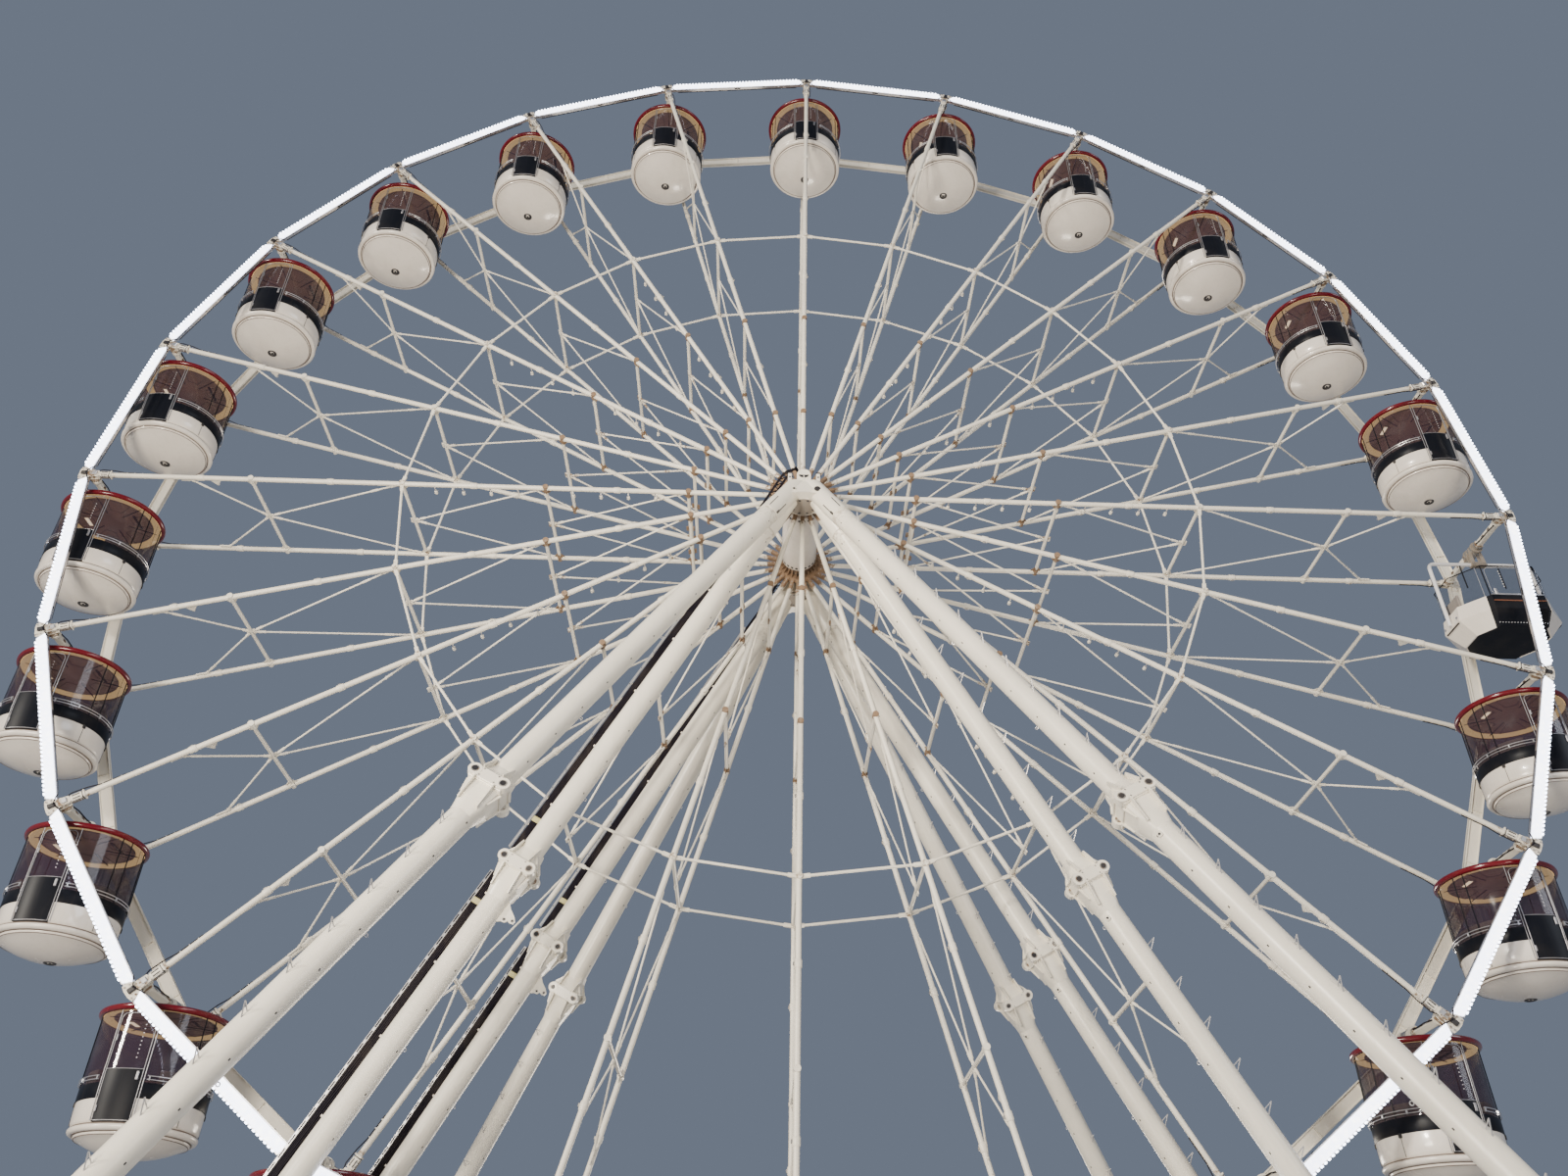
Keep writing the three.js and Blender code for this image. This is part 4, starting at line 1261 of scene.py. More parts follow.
def splice(piece, sizes, place):
    """Pinned splice: flanged collar on flared tube ends, with fins and a bored ear at each corner."""
    half, plate = SPLICE_HALF, SPLICE_PLATE
    collar = square_outline(half, 0.05, OUTLINE_POINTS)
    tube_end = square_outline(sizes.leg_radius + 0.001, sizes.leg_radius + 0.001, OUTLINE_POINTS)
    piece.add(loft(collar, -plate, collar, plate), "leg_paint", 0.05, place)
    for reach, flare, fin in ((-1, 0.32, 0.30), (1, 0.62, 0.38)):
        middle = square_outline((half + sizes.leg_radius) / 2, 0.15, OUTLINE_POINTS)
        for (near, first), (far, last) in (((plate, collar), (flare * 0.60, middle)),
                                           ((flare * 0.60, middle), (flare, tube_end))):
            low, high = (near, first), (far, last)
            if reach < 0:
                low, high = high, low
            piece.add(loft(low[1], reach * low[0], high[1], reach * high[0]), "leg_paint", 0.05, place)
        piece.add(box((0.575, 0.575, 0.026), (0, 0, reach * plate), 0.010), "leg_paint", 0.12, place)
        for u, v in ((0, -1), (0, 1), (-1, 0), (1, 0)):
            for aside in (-0.165, 0.165):
                origin = (-v * aside, u * aside, reach * plate)
                seat = frame_from((u, v, 0), (0, 0, reach), (v * reach, -u * reach, 0), origin)
                tip = sizes.leg_radius - 0.01 if reach < 0 else 0.245
                top, long = (0.350, fin) if v else (0.305, fin * 0.6)
                outline = [(0.12, 0.0), (top, 0.0), (top - 0.005, 0.025), (tip, long), (0.12, long)]
                piece.add(moved(prism(outline, -0.009, 0.009), seat), "leg_paint", 0.08, place)
    for v in (-1, 1):
        piece.add(box((0.46, 0.100, 0.20), (0, v * 0.265, 0), 0.010), "leg_paint", 0.1, place)
        spots = [(u * 0.13, v * 0.316, dz) for u in (-1, 1) for dz in (-0.065, 0.065)]
        piece.bolts(spots, (0, v, 0), 0.012, 0.010, "steel", 0.2, place)
        for u in (-1, 1):
            at = np.array((u * 0.245, v * 0.262, 0.0))
            piece.add(tube(at - (0, 0.058, 0), at + (0, 0.058, 0), 0.104, 28), "leg_paint", 0.1, place)
            piece.add(tube(at - (0, 0.065, 0), at + (0, 0.065, 0), 0.060, 20), "steel", 0.4, place)
            # Black disc at each pin's end: painted shade in its bore.
            end = at + np.array((0, v * 0.065, 0))
            piece.add(tube(end, end + np.array((0, v * 0.004, 0)), 0.043, 16), "black_paint", 0.0, place)


def leg_turn(degrees, side_x):
    """Turn about a leg, given for a left leg and mirrored for a right one."""
    return math.radians(degrees if side_x < 0 else 180 - degrees)


def peg_v(piece, along, radius, turn, place):
    """Climbing peg: two thin rods that meet in a point."""
    out = outwards(turn)
    tip = out * (radius + PEG_REACH) + (0, 0, along - 0.045)
    for base in (-0.005, 0.085):
        piece.add(tube(out * radius * 0.97 + (0, 0, along + base), tip, 0.0085, 6), "rail_metal", 0.1, place)


def peg_hole(piece, along, radius, turn, place):
    """Hole of a climbing peg's socket, dark with painted shade."""
    out = outwards(turn)
    seat = axes_at(out * (radius - 0.003) + (0, 0, along), (0, 0, 1), out)
    piece.add(box((0.012, 0.020, 0.034), edge=0.003), "black_paint", 0.0, place @ seat)


def bracing_plate(piece, along, radius, place):
    """Plate with two bored ears that stands on the inner side of a leg."""
    outline = [(-radius + 0.02, -0.22), (-radius - 0.09, -0.10), (-radius - 0.22, -0.02),
               (-radius - 0.275, 0.04), (-radius - 0.265, 0.095), (-radius - 0.20, 0.105),
               (-radius - 0.165, 0.085), (-radius - 0.135, 0.135), (-radius - 0.07, 0.145),
               (-radius + 0.02, 0.20)]
    seat = facing_front((0, 0, along))
    piece.add(moved(prism(list(reversed(outline)), -0.014, 0.014), seat), "leg_paint", 0.15, place)
    for x, z in ((-radius - 0.232, 0.055), (-radius - 0.10, 0.095)):
        at = np.array((x, 0, along + z))
        piece.add(tube(at - (0, 0.020, 0), at + (0, 0.020, 0), 0.028, 16), "steel", 0.3, place)
        # Black tube inside each ear: painted shade in its bore.
        piece.add(tube(at - (0, 0.023, 0), at + (0, 0.023, 0), 0.016, 12), "black_paint", 0, place)


def ring_eye(piece, along, radius, turn, place):
    """Small lashing eye on a tube."""
    out = outwards(turn)
    seat = axes_at(out * (radius + 0.028) + (0, 0, along), (-out[1], out[0], 0), (0, 0, 1))
    hoop = [(0.024 + 0.007 * math.cos(a), 0.007 * math.sin(a)) for a in np.arange(8) * math.pi / 4]
    piece.add(moved(lathe(hoop, 16), seat), "rail_metal", 0.3, place)


def leg_tube(piece, sizes, start, end, place):
    """Round tube whose ends carry rust."""
    steps = np.linspace(start, end, len(TUBE_RUST))
    shape = sweep([(0, 0, z) for z in steps], sizes.leg_radius, TUBE_SIDES)
    piece.add(shape, "leg_paint", np.repeat(TUBE_RUST, TUBE_SIDES), place)


class WHEEL_OT_legs(Operator):
    """Make the eight tube legs with their splices, pegs and shoes"""

    bl_idname = "wheel.legs"
    bl_label = "Legs"

    def execute(self, context):
        sizes = context.scene.wheel_sizes
        for side_y, place in ((-1, "front"), (1, "rear")):
            for side_x, hand in ((-1, "left"), (1, "right")):
                for outer in (True, False):
                    kind = "outer" if outer else "inner"
                    piece = self.leg(sizes, side_x, side_y, outer, f"{kind}_{place}_{hand}")
                    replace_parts(piece.build("tower", "cream_paint"), f"leg_{kind}_{place}_{hand}")
        return {"FINISHED"}

    def leg(self, sizes, side_x, side_y, outer, name):
        """One leg with its splice, pegs, eyes and shoe."""
        piece = Piece(f"leg_tube_{name}")
        top, foot, way = leg_line(side_x, side_y, outer)
        place = leg_axes(top, way)
        length = np.linalg.norm(foot - top)
        middle = (AXLE_Z - SPLICE_Z) / -way[2]
        ground = length - (SILL_H + 0.03) / -way[2]
        leg_tube(piece, sizes, SOCKET_END + 0.002, middle - 0.10, place)
        leg_tube(piece, sizes, middle + 0.10, ground, place)
        at = np.array(place)
        at[:3, 3] = top + way * middle
        splice(piece, sizes, at)
        for k in range(int((ground - 2.6) / sizes.peg_pitch)):
            along = PEG_START + k * sizes.peg_pitch
            if -0.45 < along - middle < 0.70:
                continue
            if outer and (side_x > 0 or along > middle):
                peg_v(piece, along, sizes.leg_radius, leg_turn(OUTER_PEG_TURN, side_x), place)
            if not outer and side_x > 0:
                peg_v(piece, along, sizes.leg_radius, leg_turn(INNER_PEG_TURN, side_x), place)
            peg_hole(piece, along - 0.2, sizes.leg_radius, leg_turn(PEG_HOLE_TURN, side_x), place)
        for k in range(EYES):
            along = EYE_START + k * EYE_PITCH
            if abs(along - middle) > 0.7:
                ring_eye(piece, along, sizes.leg_radius, leg_turn(EYE_TURN, side_x), place)
        if side_x < 0 and not outer:
            bracing_plate(piece, middle + ABOVE_SPLICE, sizes.leg_radius, place)
        if side_x > 0:
            out = outwards(leg_turn(BOX_TURN, side_x))
            at = out * (sizes.leg_radius + 0.012) + (0, 0, middle + ABOVE_SPLICE)
            seat = axes_at(at, (0, 0, 1), out)
            piece.add(box((0.03, 0.085, 0.085), edge=0.012), "leg_paint", 0.1, place @ seat)
            piece.add(box((0.036, 0.040, 0.040), edge=0.004), "black_paint", 0.0, place @ seat)
        self.shoe(piece, foot, side_x, side_y, outer)
        return piece

    def shoe(self, piece, foot, side_x, side_y, outer):
        """Base plate with two cheeks, a pin and bolts, on the sill."""
        base = SILL_H + 0.001
        x = foot[0] - side_x * 0.15
        y = foot[1] - side_y * (0.09 if outer else 0.0)
        piece.add(box((0.55, 0.62, 0.05), (x, y, base + 0.026), 0.006), "leg_paint", 0.6)
        for dx in (-0.20, 0.20):
            fin = box((0.03, 0.50, 0.34), (x + dx, y, base + 0.21), 0.006)
            piece.add(fin, "leg_paint", 0.4)
        piece.add(tube((x - 0.26, y, base + 0.27), (x + 0.26, y, base + 0.27), 0.06, 20), "steel", 0.6)
        spots = [(x + dx, y + dy, base + 0.05) for dx in (-0.24, 0.24) for dy in (-0.27, 0.27)]
        piece.bolts(spots, (0, 0, 1), 0.028, 0.03)


# Cable trays beside the inner left legs

TRAY_TOP = 1.75
TRAY_SPLICE_GAP = 0.235
TRAY_FOOT_GAP = 1.1
TRAY_CABLES = 5
TRAY_CABLE_PITCH = 0.029
TRAY_CABLE_R = 0.0145
CLIP_PITCH = 1.3


class WHEEL_OT_cable_trays(Operator):
    """Make the cable trays on the left inner legs"""

    bl_idname = "wheel.cable_trays"
    bl_label = "Cable trays"

    def execute(self, context):
        sizes = context.scene.wheel_sizes
        for side_y, place in ((-1, "front"), (1, "rear")):
            top, foot, way = leg_line(-1, side_y, False)
            frame_of_leg = leg_axes(top, way)
            length = np.linalg.norm(foot - top)
            middle = (AXLE_Z - SPLICE_Z) / -way[2]
            for part, start, end in (("upper", TRAY_TOP, middle - TRAY_SPLICE_GAP),
                                     ("lower", middle + TRAY_SPLICE_GAP, length - TRAY_FOOT_GAP)):
                piece = Piece(f"tray_{place}_{part}")
                self.run(piece, sizes.leg_radius - 0.012, frame_of_leg, start, end, part == "upper")
                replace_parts(piece.build("tower", "grey_steel"), f"cable_tray_{place}_{part}")
        return {"FINISHED"}

    def run(self, piece, edge, place, start, end, upper):
        """One length of tray: cables side by side, a slotted edge rail, its brackets and clips."""
        along = (start + end) / 2
        piece.add(box((0.150, 0.010, end - start), (edge + 0.085, 0.020, along), 0.0), "cable_black", 0.0,
                  place)
        for k in range(TRAY_CABLES):
            x = edge + 0.024 + k * TRAY_CABLE_PITCH
            sag = [(x + 0.004 * math.sin(2.1 * z + k), 0.002 + 0.003 * math.cos(1.7 * z + 2 * k), z)
                   for z in np.linspace(start - 0.06, end + 0.06, int((end - start) / 0.6))]
            piece.add(sweep(sag, TRAY_CABLE_R, 8), "cable_black", 0.0, place)
        width, pitch, slot = ((0.036, 0.40, (0.012, 0.0535, 0.026)) if upper
                              else (0.052, 0.21, (0.022, 0.0535, 0.15)))
        rail = edge + 0.209 - width / 2
        piece.add(box((width, 0.052, end - start), (rail, 0, along), 0.006), "rail_metal", 0.0, place)
        # The rail's slots are dark boxes: painted shade in the slots.
        for k in range(int((end - start) / pitch)):
            at = start + pitch / 2 + k * pitch
            piece.add(box(slot, (rail, 0, at), 0.0), "dark_panel", 0.0, place)
        for k in range(int((end - start) / CLIP_PITCH) + 1):
            at = start + 0.25 + k * CLIP_PITCH
            piece.add(box((0.205, 0.030, 0.030), (edge + 0.100, 0.034, at), 0.005), "leg_paint", 0.2, place)
            piece.add(box((0.036, 0.030, 0.036), (edge + 0.022, -0.026, at + 0.12), 0.005), "shell_white",
                      0.0, place)
        yellow = end - 0.62 if upper else start + 0.55
        piece.add(box((0.15, 0.056, 0.10), (edge + 0.080, -0.002, yellow), 0.01), "signal_yellow", 0.3, place)


WEB_PLACE = 0.62
RIB_PITCH = 1.1


class WHEEL_OT_ground_frame(Operator):
    """Make the sills and ties of the ground frame"""

    bl_idname = "wheel.ground_frame"
    bl_label = "Ground frame"

    def execute(self, context):
        for node in ("sill_left", "sill_right", "tie_front", "tie_rear"):
            low, high = (np.array(corner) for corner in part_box(node))
            piece = Piece(f"ground_{node}")
            size, centre = high - low, (low + high) / 2
            self.beam(piece, size, centre, node.startswith("sill"))
            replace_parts(piece.build("tower", "cream_paint"), node)
        return {"FINISHED"}

    def beam(self, piece, size, centre, along_y):
        """Double-flanged beam with webs, a core and ribs, two of them close to its ends."""
        long_axis = 1 if along_y else 0
        cross = 1 - long_axis
        half = size / 2
        for edge in (-1, 1):
            plate = np.array(size)
            plate[2] = 0.03
            at = np.array(centre)
            at[2] += edge * (half[2] - 0.015)
            piece.add(box(plate, at, 0.004), "ground_paint", 0.3)
            web = np.array(size)
            web[cross] = 0.02
            web[2] -= 0.05
            at = np.array(centre)
            at[cross] += edge * half[cross] * WEB_PLACE
            piece.add(box(web, at, 0.0), "ground_paint", 0.2)
        core = np.array(size)
        core[cross] *= WEB_PLACE
        core[2] -= 0.05
        core[long_axis] -= 0.02
        piece.add(box(core, centre, 0.0), "ground_paint", 0.3)
        count = int(size[long_axis] / RIB_PITCH)
        for k in range(count + 1):
            rib = np.array(size)
            rib[long_axis] = 0.016
            rib[2] -= 0.055
            at = np.array(centre)
            at[long_axis] += -half[long_axis] + 0.03 + k * (size[long_axis] - 0.06) / count
            piece.add(box(rib, at, 0.0), "ground_paint", 0.35)


# Cabins: their own frame has its origin at the pivot

RAIL_HEIGHTS = (-1.315, -1.370)
RAIL_LIFT = 0.036
STANDOFF_TURNS = (0.42, 0.85, 1.32, 1.82, 2.29, 2.72)
STANDOFF_Z = -1.343
SEAM_TURN = 1.08
MULLION_TURNS = (SEAM_TURN, 1.30, math.pi - 1.30, math.pi - SEAM_TURN)
DOOR_CORNER = 0.085
DOOR_FOOT_GAP = 0.03
DOOR_TURN = -math.pi / 2
DOOR_HALF = math.radians(18)
GLASS_TOP = -0.305
GLASS_FOOT = -1.42
BAND_FOOT = -1.64
WALL_FOOT = -2.0
CABIN_FLOOR = -1.975
DOOR_TOP = -0.37
DOOR_RAIL = -1.22
PORT_Y = 0.11
PORT_Z = -2.366
WALL_HEIGHTS = (WALL_FOOT, BAND_FOOT, GLASS_FOOT, GLASS_TOP)
WALL_RADII = (0.946, 0.958, 0.964, 0.957)


def wall_point(turn, height, lift=0.0):
    """Point on the cabin's wall, lifted off it."""
    radius = float(np.interp(height, WALL_HEIGHTS, WALL_RADII)) + lift
    return (radius * math.cos(turn), radius * math.sin(turn), height)


def turned_up(profile, segments):
    """Lathe whose profile was written from the top down."""
    points, faces = lathe(profile, segments)
    return points, [tuple(reversed(face)) for face in faces]


def rounded(half_x, half_y, corner, centre=(0, 0)):
    """Counter-clockwise outline of a rectangle with round corners."""
    points = []
    for cx, cy, start in ((1, 1, 0), (-1, 1, 1), (-1, -1, 2), (1, -1, 3)):
        for k in range(5):
            turn = (start + k / 4) * math.pi / 2
            points.append((centre[0] + cx * (half_x - corner) + corner * math.cos(turn),
                           centre[1] + cy * (half_y - corner) + corner * math.sin(turn)))
    return points


TUB_PROFILE = [(0, CABIN_FLOOR), (0.90, CABIN_FLOOR), (0.905, BAND_FOOT), (0.956, BAND_FOOT),
               (0.958, BAND_FOOT - 0.01), (0.954, -1.80), (0.946, -1.950), (0.932, -1.972),
               (0.914, -1.990), (0.914, -2.002), (0.934, -2.010), (0.952, -2.020), (0.960, -2.038),
               (0.957, -2.062), (0.942, -2.084), (0.914, -2.100), (0.886, -2.102), (0.868, -2.094),
               (0.858, -2.100), (0.857, -2.120), (0.850, -2.136), (0.832, -2.150), (0.800, -2.162),
               (0.700, -2.208), (0.600, -2.252), (0.450, -2.303), (0.300, -2.338), (0.150, -2.360),
               (0, -2.367)]
BAND_PROFILE = [(0.925, GLASS_FOOT + 0.01), (0.966, GLASS_FOOT + 0.01), (0.971, GLASS_FOOT),
                (0.970, BAND_FOOT + 0.01), (0.962, BAND_FOOT - 0.004), (0.925, BAND_FOOT - 0.004)]


def cabin_shell():
    """Dish, wall, band, rails, door and seats of a round cabin."""
    segments = bpy.context.scene.wheel_sizes.cabin_segments
    piece = Piece("cabin_shell")
    piece.add(turned_up(TUB_PROFILE, segments), "shell_white")
    # Dark rings in the dish's grooves: painted shade.
    for radius, height, width in ((0.920, -1.996, 0.009), (0.866, -2.100, 0.013), (0.838, -2.146, 0.008)):
        piece.add(sweep(level_ring(radius, height, segments), width, 6, closed=True), "groove")
    piece.add(turned_up(BAND_PROFILE, segments), "dark_panel")
    port(piece)
    for side in (-1, 1):
        wall_trim(piece, side)
    for face in (0.0, math.pi):
        door(piece, face)
    seats(piece)
    return piece


PORT_PROFILE = [(0, 0.012), (0.104, 0.012), (0.106, 0.0), (0.096, -0.007), (0.070, -0.005), (0.064, 0.003),
                (0, 0.003)]


def port(piece):
    """Round black port under the dish with two pale plugs."""
    at = np.array(Matrix.Translation((0.0, PORT_Y, PORT_Z)))
    piece.add(moved(turned_up(PORT_PROFILE, 32), at), "black_paint")
    for x in (-0.034, 0.034):
        piece.add(tube((x, PORT_Y, PORT_Z + 0.006), (x, PORT_Y, PORT_Z - 0.002), 0.011, 14), "shell_white")


def wall_trim(piece, side):
    """Rails on their stand-offs, seams and notches dark with painted shade on one side of the wall, from door
    to door.
    """
    turns = DOOR_TURN + side * np.linspace(DOOR_HALF + 0.07, math.pi - DOOR_HALF - 0.07, 44)
    for height in RAIL_HEIGHTS:
        piece.add(sweep([wall_point(t, height, RAIL_LIFT) for t in turns], 0.0075, 8), "rail_metal")
    for away in STANDOFF_TURNS:
        turn = DOOR_TURN + side * away
        seat = axes_at(wall_point(turn, STANDOFF_Z, 0.018), (0, 0, 1), outwards(turn))
        piece.add(box((0.040, 0.022, 0.075), edge=0.005), "rail_metal", 0, seat)
    for away in (SEAM_TURN, math.pi - SEAM_TURN):
        turn = DOOR_TURN + side * away
        seam = [wall_point(turn, z, 0.001) for z in np.linspace(BAND_FOOT, WALL_FOOT + 0.02, 6)]
        piece.add(sweep(seam, 0.005, 6), "rubber")
        # Dark block at the top of each seam: painted shade of a notch in the wall.
        seat = axes_at(wall_point(turn, BAND_FOOT - 0.025, 0.006), (0, 0, 1), outwards(turn))
        piece.add(box((0.030, 0.060, 0.070), edge=0.006), "rubber", 0, seat)


def door(piece, face):
    """Door in the wall: dark lower panel, steel outline, rail, latch and hinges."""
    across = DOOR_TURN + face + np.linspace(-DOOR_HALF, DOOR_HALF, 15)
    heights = [WALL_FOOT + 0.012, BAND_FOOT, GLASS_FOOT, DOOR_RAIL]
    piece.add(plate_on(wall_point, across, heights, 0.012, -0.030), "dark_panel")
    half = DOOR_HALF - 0.012
    corner = DOOR_CORNER
    foot = WALL_FOOT + DOOR_FOOT_GAP
    outline = [(-half, z) for z in np.linspace(foot, DOOR_TOP - corner, 14)]
    outline += [(-half + corner * (1 - math.cos(a)), DOOR_TOP - corner * (1 - math.sin(a)))
                for a in np.linspace(0.3, math.pi / 2, 5)]
    outline += [(t, DOOR_TOP) for t in np.linspace(-half + corner, half - corner, 8)[1:]]
    outline += [(half - corner * (1 - math.sin(a)), DOOR_TOP - corner * (1 - math.cos(a)))
                for a in np.linspace(0.3, math.pi / 2, 5)]
    outline += [(half, z) for z in np.linspace(DOOR_TOP - corner, foot, 14)[1:]]
    outline += [(t, foot) for t in np.linspace(half, -half, 10)[1:-1]]
    middle = DOOR_TURN + face
    piece.add(sweep([wall_point(middle + t, z, 0.014) for t, z in outline], 0.0075, 8, closed=True),
              "door_steel")
    rail = [wall_point(middle + t, DOOR_RAIL, 0.012) for t in np.linspace(-half, half, 12)]
    piece.add(sweep(rail, 0.007, 8), "door_steel")
    for side in (-1, 1):
        post = [wall_point(middle + side * (DOOR_HALF + 0.030), z, 0.008)
                for z in np.linspace(foot, GLASS_TOP - 0.01, 12)]
        piece.add(sweep(post, 0.008, 8), "door_steel")
    out = outwards(middle)
    for turn, height, size in ((half - 0.07, -1.32, (0.030, 0.045, 0.13)),
                               (-half + 0.02, -0.75, (0.028, 0.03, 0.10)),
                               (-half + 0.02, -1.80, (0.028, 0.03, 0.10))):
        seat = axes_at(wall_point(middle + turn, height, 0.022), (0, 0, 1), out)
        piece.add(box(size, (0, 0, 0), 0.007), "door_steel", 0, seat)
    # A row of small white dots near the door's edge: painted reflections.
    lamps = [wall_point(middle + 0.45 * half, z, -0.004) for z in np.linspace(-1.05, -0.55, 9)]
    for at in lamps:
        piece.add(box((0.014, 0.014, 0.014), at), "hoop_white")


TABLE_PROFILE = [(0, 0.02), (0.20, 0.02), (0.215, 0.0), (0.20, -0.02), (0, -0.02)]


def seats(piece):
    """Curved benches left and right, and the round table on its post."""
    floor = CABIN_FLOOR
    for side in (-1, 1):
        middle = 0.0 if side > 0 else math.pi

        def arc(radius, start, end, count):
            """Points of an arc on this side of the cabin."""
            return [(radius * math.cos(middle + t), radius * math.sin(middle + t))
                    for t in np.linspace(start, end, count)]

        bench = arc(0.87, -1.0, 1.0, 19) + arc(0.50, 1.0, -1.0, 13)
        piece.add(prism(bench, floor + 0.38, floor + 0.45), "seat")
        piece.add(prism([(x * 0.985, y * 0.985) for x, y in bench], floor, floor + 0.38), "dark_panel")
        piece.add(prism(arc(0.905, -1.0, 1.0, 19) + arc(0.84, 1.0, -1.0, 19), floor + 0.45, floor + 0.78),
                  "seat")
    piece.add(tube((0, 0, floor - 0.001), (0, 0, floor + 0.72), 0.035, 16), "rail_metal")
    piece.add(moved(turned_up(TABLE_PROFILE, 32), axes_at((0, 0, floor + 0.73), (0, 0, 1), (1, 0, 0))),
              "rail_metal")


def cabin_glazing():
    """Tinted panes all round between the roof and the band, with thin dark mullions."""
    segments = bpy.context.scene.wheel_sizes.cabin_segments
    piece = Piece("cabin_glazing")
    turns = (np.arange(segments + 1) + 0.5) * 2 * math.pi / segments
    heights = np.linspace(GLASS_FOOT + 0.01, GLASS_TOP, 4)
    piece.add(plate_on(wall_point, turns, heights, 0.0, -0.010), "tinted_glass")
    for away in MULLION_TURNS:
        for side in (-1, 1):
            turn = DOOR_TURN + side * away
            mullion = [wall_point(turn, z, 0.002) for z in np.linspace(GLASS_FOOT, GLASS_TOP, 7)]
            piece.add(sweep(mullion, 0.010, 6), "dark_panel")
    return piece


DOME_PROFILE = [(0.0, -0.136), (0.20, -0.138), (0.40, -0.148), (0.62, -0.168), (0.82, -0.192),
                (0.94, -0.212), (1.000, -0.228), (1.000, -0.262), (0.0, -0.262)]
TRIM_PROFILE = [(0.988, -0.215), (1.010, -0.219), (1.027, -0.234), (1.034, -0.258), (1.030, -0.284),
                (1.014, -0.303), (0.990, -0.312), (0.962, -0.310), (0.952, -0.296), (0.955, -0.255)]
COVE_PROFILE = [(0.80, -0.258), (0.958, -0.258), (0.958, -0.306), (0.900, -0.302), (0.874, -0.290),
                (0.82, -0.286), (0.80, -0.278)]
CEILING_PROFILE = [(0.0, -0.258), (0.806, -0.258), (0.806, -0.278), (0.30, -0.276), (0.285, -0.284),
                   (0.0, -0.286)]
CEILING_PANEL = [(0.40, -0.10), (0.76, -0.24), (0.76, 0.24), (0.40, 0.10)]


def cabin_roof():
    """Shallow domed roof with its red edge, the cove and the brown ceiling panels, whose glow is painted
    light, and a strip light.
    """
    segments = bpy.context.scene.wheel_sizes.cabin_segments
    piece = Piece("cabin_roof")
    piece.add(turned_up(DOME_PROFILE, segments), "roof_grey")
    piece.add(turned_up(TRIM_PROFILE, segments), "trim_red")
    # The cove's bright cream glow and the dimmer brown ceiling are painted light and shade.
    piece.add(turned_up(COVE_PROFILE, segments), "ceiling_cream")
    piece.add(turned_up(CEILING_PROFILE, segments), "ceiling_panel")
    for k in range(6):
        out = outwards(k * math.pi / 3 + math.pi / 6)
        piece.add(sweep([out * 0.30 + (0, 0, -0.281), out * 0.87 + (0, 0, -0.285)], 0.011, 6), "rubber")
        out, aside = outwards(k * math.pi / 3), outwards(k * math.pi / 3 + math.pi / 2)
        rim = [out * x + aside * y + (0, 0, -0.280) for x, y in CEILING_PANEL]
        piece.add(sweep(rim, 0.007, 6, closed=True), "groove")
    piece.add(box((0.055, 0.46, 0.014), (0.52, 0.0, -0.292), 0.004), "rubber")
    piece.add(box((0.10, 0.30, 0.016), (-0.52, 0.0, -0.291), 0.006), "shell_white")
    piece.add(box((0.07, 0.26, 0.006), (-0.52, 0.0, -0.301), 0.0), "warm_lamp")
    for k in range(8):
        out = outwards(k * math.pi / 4 + 0.2)
        rib = [out * radius + (0, 0, z) for radius, z in ((0.24, -0.139), (0.6, -0.164), (0.97, -0.219))]
        piece.add(sweep(rib, 0.009, 6), "roof_grey")
    hanger(piece, -0.140, 0.20)
    return piece


def bearing(piece, half, finish):
    """Housing about the cross axle, with a flange at each end."""
    eye = [(0.0735, -half), (0.118, -half), (0.118, half), (0.0735, half)]
    lying = axes_at((0, 0, 0), (0, 1, 0), (1, 0, 0))
    piece.add(moved(lathe(eye, 32), lying), "steel", 0.15)
    for side in (-1, 1):
        low, high = sorted((side * (half - 0.025), side * (half + 0.005)))
        flange = [(0.0735, low), (0.132, low), (0.132, high), (0.0735, high)]
        piece.add(moved(lathe(flange, 32), lying), finish, 0.2)


def cheek(piece, foot, half, y, finish):
    """Plate on each side of the housing, wider at its foot, whose inner edges clear the cross axle."""
    seat = facing_front((0, y, 0))
    for side in (-1, 1):
        part = [(side * 0.080, foot), (side * half, foot), (side * 0.125, 0.045), (side * 0.100, 0.070),
                (side * 0.080, 0.060)]
        part = part if side > 0 else list(reversed(part))
        piece.add(moved(prism(part, -0.010, 0.010), seat), finish, 0.25)


def hanger(piece, foot, half):
    """Bearing housing on its plates and base, down to a foot."""
    bearing(piece, 0.20, "cream_paint")
    for y in (-0.14, 0.14):
        cheek(piece, foot - 0.01, half, y, "cream_paint")
    piece.add(box((2 * half, 0.40, 0.028), (0, 0, foot - 0.004), 0.005), "cream_paint", 0.2)
    spots = [(x, y, foot + 0.008) for x in (-half + 0.03, half - 0.03) for y in (-0.17, 0.17)]
    piece.bolts(spots, (0, 0, 1), 0.016, 0.018)


def place_copies(source, suffix, names):
    """One object for each cabin, all with the mesh of the first."""
    master = source.build(None, None)
    for name in names:
        twin = in_scene(f"{name}_{suffix}", master.data)
        twin.location = PIVOTS[name]
        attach(twin, name)
        if suffix == "shell":
            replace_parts(twin, name)
    bpy.data.objects.remove(master)


class WHEEL_OT_round_cabins(Operator):
    """Make the round cabins and hang one on each cross axle"""

    bl_idname = "wheel.round_cabins"
    bl_label = "Round cabins"

    def execute(self, context):
        names = [name for name in CABINS if name != WIDE_CABIN]
        place_copies(cabin_shell(), "shell", names)
        place_copies(cabin_glazing(), "glazing", names)
        place_copies(cabin_roof(), "roof", names)
        return {"FINISHED"}


